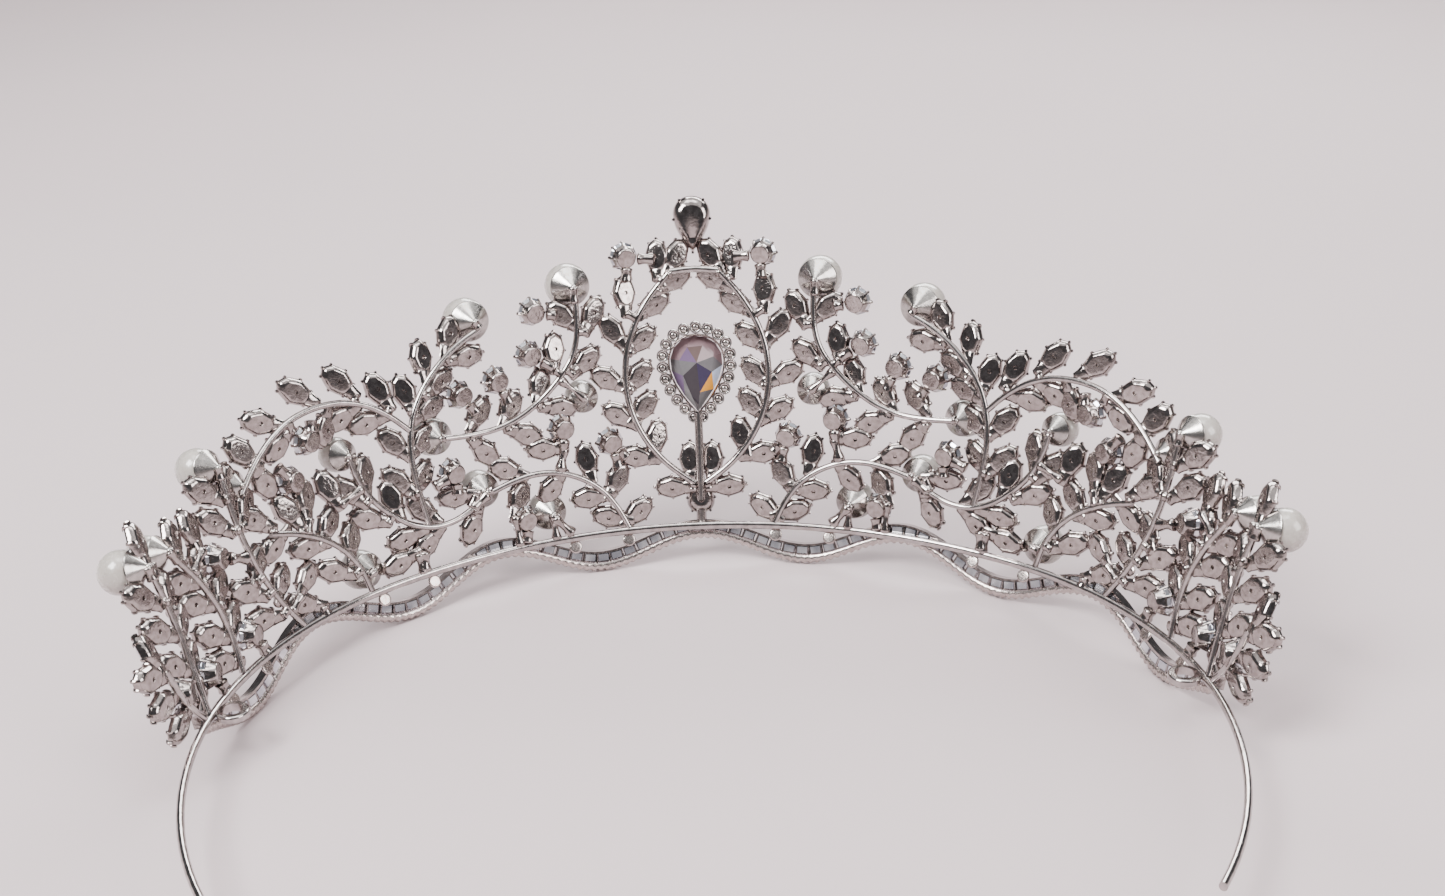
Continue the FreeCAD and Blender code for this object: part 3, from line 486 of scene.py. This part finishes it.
def nacre(name):
    """Imitation pearl: warm white under a satin coat, with faint rose and grey-green clouds."""
    material, tree, bsdf = shader(name)
    cloud = ramp(tree, noise(tree, 260.0, 3.0, 0.6),
                 [(0.25, (0.36, 0.325, 0.295)), (0.5, (0.42, 0.385, 0.35)),
                  (0.75, (0.385, 0.36, 0.335))])
    tree.links.new(cloud, bsdf.inputs["Base Color"])
    roughness(tree, bsdf, 1500.0, 3.0, 0.2, 0.34)
    bsdf.inputs["Subsurface Weight"].default_value = 0.1
    bsdf.inputs["Subsurface Radius"].default_value = (0.0012, 0.0010, 0.0008)
    bsdf.inputs["Coat Weight"].default_value = 1.0
    bsdf.inputs["Coat Roughness"].default_value = 0.09
    bump(tree, bsdf, noise(tree, 1900.0, 3.0), 0.000004)
    return material


def plain_floor(name):
    """Pale matt floor, very slightly mottled; it gets paler where less light reaches it."""
    material, tree, bsdf = shader(name)
    mottle = ramp(tree, noise(tree, 3.0, 3.0),
                  [(0.3, (0.50, 0.42, 0.43)), (0.7, (0.53, 0.45, 0.46))])
    where = tree.nodes.new("ShaderNodeTexCoord")
    length = tree.nodes.new("ShaderNodeVectorMath")
    length.operation = "LENGTH"
    tree.links.new(where.outputs["Object"], length.inputs[0])
    reach = tree.nodes.new("ShaderNodeMapRange")
    reach.interpolation_type = "SMOOTHSTEP"
    reach.inputs["From Min"].default_value = 0.5
    reach.inputs["From Max"].default_value = 1.5
    tree.links.new(length.outputs["Value"], reach.inputs["Value"])
    mix = tree.nodes.new("ShaderNodeMix")
    mix.data_type = "RGBA"
    tree.links.new(reach.outputs["Result"], mix.inputs["Factor"])
    tree.links.new(mottle, mix.inputs["A"])
    mix.inputs["B"].default_value = (0.92, 0.80, 0.81, 1)
    tree.links.new(mix.outputs["Result"], bsdf.inputs["Base Color"])
    bsdf.inputs["Roughness"].default_value = 0.85
    return material


def studio_world(name):
    """Dim studio above, with a pale haze where it meets the floor."""
    world = bpy.data.worlds.new(name)
    world.use_nodes = True
    tree = world.node_tree
    where = tree.nodes.new("ShaderNodeTexCoord")
    split = tree.nodes.new("ShaderNodeSeparateXYZ")
    tree.links.new(where.outputs["Generated"], split.inputs["Vector"])
    haze = ramp(tree, split.outputs["Z"],
                [(0.04, (0.66, 0.59, 0.595)), (0.2, (0.14, 0.14, 0.15))])
    tree.links.new(haze, tree.nodes["Background"].inputs["Color"])
    tree.nodes["Background"].inputs["Strength"].default_value = 1.0
    return world


wire_metal = polished_metal("wire_metal", (0.34, 0.31, 0.30), (0.48, 0.44, 0.43),
                            0.08, 0.2, 900.0, 0.000012)
setting_metal = polished_metal("setting_metal", (0.27, 0.235, 0.225), (0.42, 0.375, 0.36),
                               0.05, 0.17, 1300.0, 0.00003)
spun_metal = polished_metal("spun_metal", (0.36, 0.34, 0.32), (0.50, 0.47, 0.45),
                            0.16, 0.28, 1300.0, 0.00001)
halo_metal = polished_metal("halo_metal", (0.60, 0.56, 0.54), (0.76, 0.72, 0.70),
                            0.12, 0.26, 1300.0, 0.00001)
border_metal = polished_metal("border_metal", (0.42, 0.36, 0.34), (0.56, 0.50, 0.475),
                              0.2, 0.32, 1300.0, 0.00002)
halo_glass = foiled_crystal("halo_glass", (0.25, 0.225, 0.215), (0.48, 0.44, 0.42))
foiled_stone = foiled_crystal("foiled_stone", (0.40, 0.41, 0.46), (0.78, 0.78, 0.82))
drop_glass = faceted_crystal("drop_glass")
pearl_nacre = nacre("pearl_nacre")

# ---------------------------------------------------- patterns, in millimetres


def leaf_outline(angle, scale=1.0):
    """Blunt navette."""
    sine = math.sin(angle)
    return (LEAF_LENGTH * scale / 2 * math.cos(angle),
            LEAF_WIDTH * scale / 2 * sine * abs(sine) ** LEAF_BLUNTNESS)


def pear_outline(angle, width, length):
    """Pear with its point at -y where the angle is 0."""
    return (width / 2 / PEAR_WIDEST * math.sin(angle) * math.sin(angle / 2),
            -length / 2 * math.cos(angle))


def claw(x, y, foot, tip, lean, thick, tuck=0.0):
    """A claw at (x, y) on the rim, from height foot to tip, leaning in over the stone.

    tuck draws its foot in.
    """
    reach = math.hypot(x, y)
    inward = (-x / reach, -y / reach)
    rings = []
    for share, bend, radius in ((0, tuck, 0.7), (0.35, tuck * 0.5, 1.0), (0.7, 0.05, 1.0),
                                (0.9, 0.5 * lean, 0.95), (0.97, 0.85 * lean, 0.8),
                                (1.0, lean, 0.45)):
        across = x + inward[0] * bend
        along = y + inward[1] * bend
        z = foot + (tip - foot) * share
        rings.append([(across + px, along + py, z) for px, py, _ in circle(radius * thick, 0, 8)])
    return skin(rings)


def leaf_bulge(angle):
    """How far a leaf's rim bulges at an angle: 1 at a claw and 0 between claws."""
    swell = 0.0
    for claw_angle in LEAF_CLAW_ANGLES:
        swell += math.exp(-((angle - claw_angle) / BULGE_SPREAD) ** 2)
    return swell


def leaf_rings(count=60):
    """Rings of a leaf setting from the dimple in its back, round the rolled edge, to its rim."""
    rings = [circle(hole, z, count) for hole, z in ((0.24, 0.42), (0.27, 0.10), (0.34, 0.01))]
    levels = [(0.60, 0.0), (0.66, 0.01), (0.74, 0.07), (0.83, 0.2), (0.91, 0.4), (0.97, 0.7),
              (1.0, 1.05), (1.0, 1.3), (0.97, 1.45), (0.92, 1.5), (0.88, 1.4), (0.86, 0.95)]
    for scale, z in levels:
        ring = []
        for angle in angles(count):
            x, y = leaf_outline(angle)
            push = 1 + (leaf_bulge(angle) - BULGE_MEAN) * BULGE_HEIGHT / math.hypot(x, y)
            ring.append((x * scale * push, y * scale * push, z))
        rings.append(ring)
    return rings


def tang(x_start, x_end, wide_start, wide_end, z_middle, half_height):
    """The flattened neck that runs from a leaf's back to its wire."""
    rings = []
    for share, swell in ((0, 0.4), (0.06, 0.8), (0.2, 1.0), (0.6, 0.92), (0.9, 1.0), (1.0, 0.6)):
        half_width = (wide_start + (wide_end - wide_start) * share) * swell
        x = x_start + (x_end - x_start) * share
        rings.append([(x, half_width * math.cos(angle),
                       z_middle + half_height * swell * math.sin(angle)) for angle in angles(12)])
    return skin(rings)


def leaf_pattern():
    """A leaf setting: plate with a dimple, rolled wavy rim, claws and tang."""
    foot, tip, lean = 0.75, 1.78, 0.42
    parts = [skin(leaf_rings()), tang(x_start=-1.7, x_end=-4.3, wide_start=1.3, wide_end=0.95,
                                      z_middle=0.42, half_height=0.45)]
    for angle in LEAF_CLAW_ANGLES:
        x, y = leaf_outline(angle)
        parts.append(claw(x * 1.05, y * 1.05, foot, tip, lean, thick=0.26))
    parts.append(claw(LEAF_LENGTH / 2, 0.001, foot, tip, lean, thick=0.3))
    return joined(*parts)


def leaf_stone_pattern():
    """Navette crystal with a table, a crown and a short back."""
    return gem(lambda angle: leaf_outline(angle, LEAF_STONE_SCALE),
               [(0.5, 0.4, 0, 8), (1.2, 0.98, 1, 16), (1.38, 1.0, 0, 16), (1.7, 0.84, 1, 16),
                (1.94, 0.58, 0, 8), (2.08, 0.26, 1, 8)])


def cup_pattern():
    """Round setting: mirror-flat back, rounded shoulder, short wavy wall and eight claws."""
    profile = [(0.9, 0.0), (1.36, 0.0), (1.42, 0.01), (1.52, 0.06), (1.6, 0.16), (1.65, 0.34),
               (1.72, 0.7), (1.86, 1.05), (1.98, 1.3), (2.0, 1.42), (1.94, 1.46), (1.8, 1.3)]
    rings = []
    for radius, z in profile:
        ring = []
        for angle in angles(48):
            wave = 1 + 0.03 * z * math.cos(8 * angle)
            ring.append((radius * wave * math.cos(angle), radius * wave * math.sin(angle), z))
        rings.append(ring)
    parts = [skin(rings)]
    for x, y, _ in circle(CUP_CLAW_RADIUS, 0, 8):
        parts.append(claw(x, y, foot=0.95, tip=3.0, lean=0.6, thick=0.24, tuck=0.55))
    return joined(*parts)


def cup_stone_pattern():
    """Round brilliant."""
    return gem(lambda angle: (CUP_STONE_RADIUS * math.cos(angle),
                              CUP_STONE_RADIUS * math.sin(angle)),
               [(1.0, 0.55, 0, 8), (1.95, 1.0, 1, 16), (2.15, 1.0, 0, 16), (2.55, 0.86, 1, 16),
                (2.9, 0.6, 0, 8), (3.08, 0.3, 1, 8)])


def cap_pattern(radius, count=48):
    """Cap for a pearl with its middle at the origin: a fluted cone with a bead at its tip."""
    tip = -radius / math.sin(CAP_ANGLE) - 0.3
    rim = CAP_RIM * radius
    neck = 0.14
    bead_radius = 0.52
    cone = [(share, tip + rim * share / CAP_SLOPE) for share in (neck, 0.3, 0.55, 0.8, 0.96, 1.0)]
    lip = tip + rim / CAP_SLOPE
    rings = []
    for share, z in cone + [(1.015, lip + 0.12), (0.99, lip + 0.22), (0.93, lip + 0.1)]:
        ring = []
        for angle in angles(count):
            flute = 1 + 0.004 * math.cos(12 * angle) * math.sin(math.pi * min(share, 1.0))
            reach = rim * share * flute
            ring.append((reach * math.cos(angle), reach * math.sin(angle), z))
        rings.append(ring)
    middle = tip + neck * rim / CAP_SLOPE
    bead = []
    for i in range(1, 8):
        angle = math.pi * i / 8
        bead.append((bead_radius * math.sin(angle), middle - bead_radius * math.cos(angle)))
    return joined(skin(rings), turned(bead, 20))


def pearl_pattern(radius):
    """A pearl, very slightly uneven as nacre is."""
    ball = bmesh.new()
    bmesh.ops.create_icosphere(ball, subdivisions=4, radius=radius)
    for vertex in ball.verts:
        x, y, z = vertex.co
        wave = math.sin(1.3 * x + 0.7) * math.sin(1.1 * y + 0.2) * math.sin(0.9 * z + 1.9)
        vertex.co *= 1 - 0.004 * (1 + wave)
    ball.verts.index_update()
    points = [tuple(v.co) for v in ball.verts]
    faces = [tuple(v.index for v in f.verts) for f in ball.faces]
    ball.free()
    return points, faces


def halo_cup_pattern():
    """One cup of the halo, open at the back, with four tiny claws at the front."""
    profile = [(0.64, 0.2), (0.69, 0.05), (0.8, 0.0), (0.93, 0.03), (1.02, 0.16), (1.05, 0.8),
               (1.05, 1.6), (1.03, 1.85), (0.95, 1.96), (0.86, 1.9), (0.79, 1.5), (0.68, 0.5),
               (0.64, 0.2)]
    parts = [skin([circle(radius, z, 24) for radius, z in profile], False, False)]
    for x, y, _ in circle(HALO_CLAW_RADIUS, 0, 8)[1::2]:
        parts.append(claw(x, y, foot=1.2, tip=2.3, lean=0.3, thick=0.16))
    return joined(*parts)


def halo_stone_pattern():
    """One stone of the halo: a rounded back behind a cut front."""
    back = [(0.06, 0.17), (0.3, 0.2), (0.52, 0.32), (0.68, 0.55), (0.75, 0.9)]
    front = [(0.76, 1.5), (0.66, 1.9), (0.4, 2.1)]
    return turned(back + front, 16)


def pear_cup_pattern(width, length, hole_height, sign):
    """Pear setting: plate with a hole, rolled rim and claws; a sign of -1 puts its point up."""
    rings = []
    for hole, z in ((0.42, 0.5), (0.46, 0.08), (0.56, 0.0)):
        rings.append([(sign * hole * math.sin(angle),
                       sign * (hole_height - hole * math.cos(angle)), z) for angle in angles(48)])
    for scale, z in ((0.56, 0.0), (0.62, 0.01), (0.7, 0.08), (0.8, 0.26), (0.89, 0.55),
                     (0.96, 0.95), (1.0, 1.4), (1.03, PEAR_DEPTH - 0.35), (1.02, PEAR_DEPTH - 0.1),
                     (0.97, PEAR_DEPTH), (0.9, PEAR_DEPTH - 0.1), (0.86, PEAR_DEPTH - 0.7)):
        outline = [pear_outline(angle, width * scale, length * scale) for angle in angles(48)]
        rings.append([(sign * x, sign * y, z) for x, y in outline])
    parts = [skin(rings)]
    for angle in (0.0, 1.75, 2.6, 2 * math.pi - 2.6, 2 * math.pi - 1.75):
        x, y = pear_outline(angle, width, length)
        parts.append(claw(sign * x * 1.03, sign * y * 1.03, foot=PEAR_DEPTH - 1.3,
                          tip=PEAR_DEPTH + 0.3, lean=0.5, thick=0.28))
    return joined(*parts)


def pear_stone_pattern(width, length, sign):
    """Pear crystal for a closed setting; a sign of -1 puts its point up."""

    def outline(angle):
        x, y = pear_outline(angle, width * PEAR_STONE_SCALE, length * PEAR_STONE_SCALE)
        return sign * x, sign * y

    return gem(outline, [(0.6, 0.5, 0, 10), (PEAR_DEPTH - 0.3, 1.0, 0, 20),
                         (PEAR_DEPTH + 0.1, 0.86, 1, 20), (PEAR_DEPTH + 0.45, 0.6, 0, 10),
                         (PEAR_DEPTH + 0.65, 0.3, 1, 10)])


# ---------------------------------------------------- pieces that stand for CAD groups

LEAF = leaf_pattern()
LEAF_STONE = leaf_stone_pattern()
CUP = cup_pattern()
CUP_STONE = cup_stone_pattern()


def leaves_and_cups(side):
    """The leaf settings of each sprig, the cups, and all their crystals, on one side."""
    places = []
    for sprig in SPRIGS:
        node = f"{side}_{sprig}_leaves"
        own = [leaf_place(*solid) for solid in solids(node)]
        make_piece(f"{node}_cast", *repeat(LEAF, own), setting_metal, node)
        places += own
    stones = repeat(LEAF_STONE, places)
    make_piece(f"{side}_leaf_stones", *stones, foiled_stone, f"{side}_leaf_crystals",
               "crystal", 0)
    cups = [cup_place(*solid) for solid in solids(f"{side}_cups")]
    make_piece(f"{side}_cups_cast", *repeat(CUP, cups), setting_metal, f"{side}_cups")
    make_piece(f"{side}_cup_stones", *repeat(CUP_STONE, cups), foiled_stone, f"{side}_cup_crystals",
               "crystal", 0)


def pearls_and_caps(side):
    """The pearls and their caps on one side; a cap points away from its pearl."""
    balls = [pearl_place(corners) for corners, _ in solids(f"{side}_pearls")]
    caps = [corners for corners, _ in solids(f"{side}_pearl_caps")]
    pearls = []
    cones = []
    for middle, radius in balls:
        own = min(caps, key=lambda corners: np.linalg.norm(corners.mean(axis=0) - middle))
        distance = np.linalg.norm(own - middle, axis=1)
        tip = own[distance > distance.max() - 0.05].mean(axis=0)
        place = framed(middle, (0.2, 0.1, 1), middle - tip)
        pearls.append(repeat(pearl_pattern(radius), [place]))
        cones.append(repeat(cap_pattern(radius), [place]))
    make_piece(f"{side}_pearl_nacre", *joined(*pearls), pearl_nacre, f"{side}_pearls",
               "pearl", 180)
    make_piece(f"{side}_caps_cast", *joined(*cones), spun_metal, f"{side}_pearl_caps")


def joints(side):
    """Solder necks that flare at both ends; the longer a neck, the slimmer its waist."""
    necks = []
    for corners, triangles in solids(f"{side}_joints"):
        place, length, radius = joint_place(corners, triangles)
        waist = 1.04 - 0.13 * max(0.0, length - 2.0)
        profile = [(0.55, -0.2), (1.0, -0.08), (1.22, 0.04 * length), (1.18, 0.14 * length),
                   (waist, 0.38 * length), (waist, 0.62 * length), (1.18, 0.86 * length),
                   (1.22, 0.97 * length), (0.6, length + 0.12)]
        necks.append(repeat(turned([(radius * share, z) for share, z in profile], 20), [place]))
    make_piece(f"{side}_joints_cast", *joined(*necks), setting_metal, f"{side}_joints",
               smooth_angle=75)


# ---------------------------------------------------- the centre


def drop_bezel():
    """The drop's bezel: a rolled wall round a pear."""
    section = [(0, 0.16), (0.2, 0.05), (0.5, 0), (0.8, 0.05), (1, 0.16), (1, 0.85), (0.8, 1),
               (0.3, 1), (0, 0.85)]
    rings = []
    for share, rise in section + section[:1]:
        ring = []
        for angle in angles(64):
            x, y = pear_outline(angle, BEZEL_WIDTH, BEZEL_LENGTH)
            push = 1 + share * BEZEL_WALL / math.hypot(x, y)
            ring.append((x * push, y * push, rise * BEZEL_DEPTH))
        rings.append(ring)
    return skin(rings, False, False)


def drop_reach(direction):
    """How far the drop's girdle is from its culet.

    direction, in radians, is clockwise from up, seen from behind.
    """
    wanted = Vector((-math.sin(direction), math.cos(direction)))
    edge = [Vector(pear_outline(math.radians(a), DROP_WIDTH, DROP_LENGTH)) - Vector((0, DROP_CULET))
            for a in range(360)]
    return max(edge, key=lambda p: p.normalized().dot(wanted)).length


def drop_ring(scale, z, count, start):
    """Points round the culet at a share of the way out to the girdle; start is in degrees."""
    ring = []
    for i in range(count):
        direction = math.radians(start + 360 / count * i)
        reach = drop_reach(direction) * scale
        ring.append((-math.sin(direction) * reach, DROP_CULET + math.cos(direction) * reach, z))
    return ring


def drop_tone_and_reflection(x, y, z):
    """Tint of the drop's facet with its middle there, its own tone with a painted reflection, by
    its direction from the culet.
    """
    turn = math.degrees(math.atan2(-x, y - DROP_CULET)) % 360
    out = math.hypot(x, y - DROP_CULET) / drop_reach(math.radians(turn))
    for limit, tone_and_reflection in (INNER_TONES_AND_REFLECTIONS if out < 0.55 or z > 2.2 else OUTER_TONES_AND_REFLECTIONS):
        if turn <= limit:
            return tone_and_reflection


def drop_stone():
    """The drop's crystal, cut to a point at the back; its facets carry its tone and painted
    reflections.
    """
    points = [(0, DROP_CULET, -0.3)]
    for scale, z, count, start in ((0.66, 0.75, 7, 21), (0.99, 1.7, 14, 21), (1.0, 1.95, 14, 21),
                                   (0.98, 1.6, 1, 180), (1.0, 1.95, 1, 180),
                                   (0.8, 2.8, 7, 47), (0.5, 3.2, 7, 21)):
        points += drop_ring(scale, z, count, start)
    points, faces = hull_of(points)
    seat = panel(0, DROP_HEIGHT, 0.3)
    piece = make_piece("drop_stone", *repeat((points, faces), [seat]), drop_glass, "drop_crystal",
                       "violet_crystal", 0)
    # Painted reflections: each facet gets a fixed tint on top of the stone's own tone.
    tones_and_reflections = piece.data.attributes.new("facet_tone_and_reflection", "FLOAT_COLOR", "CORNER")
    for polygon, corners in zip(piece.data.polygons, faces):
        tone_and_reflection = drop_tone_and_reflection(*np.mean([points[i] for i in corners], axis=0))
        for loop in polygon.loop_indices:
            tones_and_reflections.data[loop].color = (*tone_and_reflection, 1.0)


def centrepiece():
    """The drop in its bezel and halo, the finial above and the base setting below."""
    seat = panel(0, DROP_HEIGHT, 0.2)
    make_piece("drop_bezel_rolled", *repeat(drop_bezel(), [seat]), setting_metal, "drop_bezel")
    drop_stone()
    upright = panel(0, DROP_HEIGHT).to_3x3()
    front = upright.col[2]
    spots = []
    for corners, _ in solids("halo_cups"):
        low = (corners @ np.array(front)).min()
        middle = Vector((corners.min(axis=0) + corners.max(axis=0)) / 2)
        spot = upright.to_4x4()
        spot.translation = middle + front * (low - middle.dot(front))
        spots.append(spot)
    make_piece("halo_cups_cast", *repeat(halo_cup_pattern(), spots), halo_metal, "halo_cups")
    make_piece("halo_stones", *repeat(halo_stone_pattern(), spots), halo_glass, "halo_crystals",
               "crystal", 32)
    for name, width, length, place, hole, sign in (
            ("finial", 6.0, 9.0, panel(0, FINIAL_HEIGHT, 0.3), -2.6, 1),
            ("base", 4.6, 6.4, panel(0, BASE_HEIGHT, 0.6), 0.6, -1)):
        make_piece(f"{name}_cast", *repeat(pear_cup_pattern(width, length, hole, sign), [place]),
                   setting_metal, f"{name}_setting")
        make_piece(f"{name}_stone", *repeat(pear_stone_pattern(width, length, sign), [place]),
                   foiled_stone, f"{name}_crystal", "crystal", 0)


# ---------------------------------------------------- the gallery


def gallery_rope():
    """The two halves of the gallery's lower border, a ridged cord of metal along the scallops."""
    middle = -GALLERY_RISE / 2 + BORDER_RISE / 2
    steps = int(GALLERY_REACH / ROPE_STEP)
    for side in (-1, 1):
        rings = []
        for k in range(steps + 1):
            s = OFF_MIDDLE + GALLERY_REACH * k / steps
            place = panel(side * s, gallery_level(s) + middle, GALLERY_MIDDLE)
            fade = min(1.0, (GALLERY_REACH - s) / 1.5 + 0.25)
            twist = side * 2 * math.pi * s / ROPE_TWIST
            ring = []
            for angle in angles(20):
                low_side = max(0.0, 0.35 - math.cos(angle))
                ridge = 1 + 0.16 * low_side * math.cos(1.5 * angle + twist)
                up = 0.8 * ridge * fade * math.cos(angle)
                out = 0.72 * ridge * fade * math.sin(angle)
                ring.append(tuple(place @ Vector((0, up, out))))
            rings.append(ring if side > 0 else ring[::-1])
        yield skin(rings)


def gallery_bars():
    """The bars between the baguettes."""
    low = -GALLERY_RISE / 2 + BORDER_RISE
    high = GALLERY_RISE / 2 - RAIL_RISE
    section = [(-0.15, 0.3), (-0.08, 0.12), (0.08, 0.12), (0.15, 0.3), (0.13, 1.5), (-0.13, 1.5)]
    for side in (-1, 1):
        for start in np.arange(0, GALLERY_REACH, SCALLOP_PITCH):
            end = min(start + SCALLOP_PITCH, GALLERY_REACH)
            count = int((end - start) / BAGUETTE_STEP)
            for k in range(count + 1):
                s = max(start + (end - start) * k / count, OFF_MIDDLE)
                slope = math.atan(gallery_level(s + 0.5) - gallery_level(max(s - 0.5, 0)))
                turn = Matrix.Rotation(side * slope, 4, "Z")
                place = panel(side * s, gallery_level(s), 0.55) @ turn
                rings = [[tuple(place @ Vector((x, y, z))) for x, z in section]
                         for y in (low - 0.3, low, high, high + 0.2)]
                yield skin(rings)


def gallery():
    """Ridged border, bars and tabs; rails and baguettes keep their CAD shapes."""
    make_piece("gallery_rope", *joined(*gallery_rope()), border_metal, "scallop_borders")
    make_piece("gallery_bars", *joined(*gallery_bars()), setting_metal)
    profile = [(0.7, 0.0), (0.86, 0.01), (0.98, 0.06), (1.06, 0.16), (1.08, 0.3), (1.0, 0.42),
               (0.5, 0.46)]
    tilt = Matrix.Rotation(TAB_TILT, 4, "Y")
    tabs = [cup_place(*solid) @ tilt for solid in solids("gallery_tabs")]
    make_piece("gallery_tabs_domed", *repeat(turned(profile, 32), tabs), border_metal,
               "gallery_tabs")


# ---------------------------------------------------- the scene


def dress_cad_nodes():
    """Materials of the CAD nodes that keep their meshes."""
    finishes = {"gallery_baguettes": foiled_stone, "scallop_rails": setting_metal}
    for name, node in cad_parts.items():
        node.material_slots[0].material = finishes.get(name, wire_metal)


def soft_light(name, place, aim, width, height, power, colour=(1, 1, 1)):
    """A rectangular softbox at a place, facing a point."""
    lamp = bpy.data.lights.new(name, "AREA")
    lamp.shape = "RECTANGLE"
    lamp.size = width
    lamp.size_y = height
    lamp.energy = power
    lamp.color = colour
    box = bpy.data.objects.new(name, lamp)
    box.location = place
    box.rotation_euler = (Vector(aim) - Vector(place)).to_track_quat("-Z", "Y").to_euler()
    bpy.context.scene.collection.objects.link(box)


def stage():
    """Pale floor, hazy surroundings and soft lights."""
    bpy.ops.mesh.primitive_circle_add(vertices=96, radius=FLOOR_RADIUS, fill_type="NGON")
    floor = bpy.context.active_object
    floor.name = "floor"
    floor.data.materials.append(plain_floor("floor_matt"))
    bpy.context.scene.world = studio_world("studio")
    soft_light("key", (0.35, 0.25, 0.55), (0, 0, 0.02), 0.30, 0.30, 9.0)
    soft_light("fill", (-0.5, 0.30, 0.35), (0, 0, 0.02), 0.35, 0.35, 3.5, (1.0, 0.96, 0.96))
    soft_light("rim", (-0.15, -0.55, 0.40), (0, 0, 0.03), 0.6, 0.2, 5.0)
    soft_light("top", (0.0, -0.05, 0.75), (0, 0, 0), 0.5, 0.3, 3.0)
    soft_light("ceiling", (0.0, 0.0, 3.0), (0, 0, 0), 5.0, 5.0, 90.0)


def camera():
    """Behind the tiara and a little above it, as in the photograph."""
    lens = bpy.data.cameras.new("camera")
    lens.lens = CAMERA_LENS_MM
    lens.sensor_width = 36.0
    lens.clip_start = 0.01
    view = bpy.data.objects.new("camera", lens)
    heading = Matrix.Rotation(math.radians(CAMERA_HEADING), 4, "Z")
    tilt = Matrix.Rotation(math.radians(90 + CAMERA_PITCH), 4, "X")
    roll = Matrix.Rotation(math.radians(CAMERA_ROLL), 4, "Z")
    view.matrix_world = Matrix.Translation(CAMERA_PLACE) @ heading @ tilt @ roll
    bpy.context.scene.collection.objects.link(view)
    bpy.context.scene.camera = view


camera()
dress_cad_nodes()
for side in SIDES:
    leaves_and_cups(side)
    pearls_and_caps(side)
    joints(side)
centrepiece()
gallery()
stage()
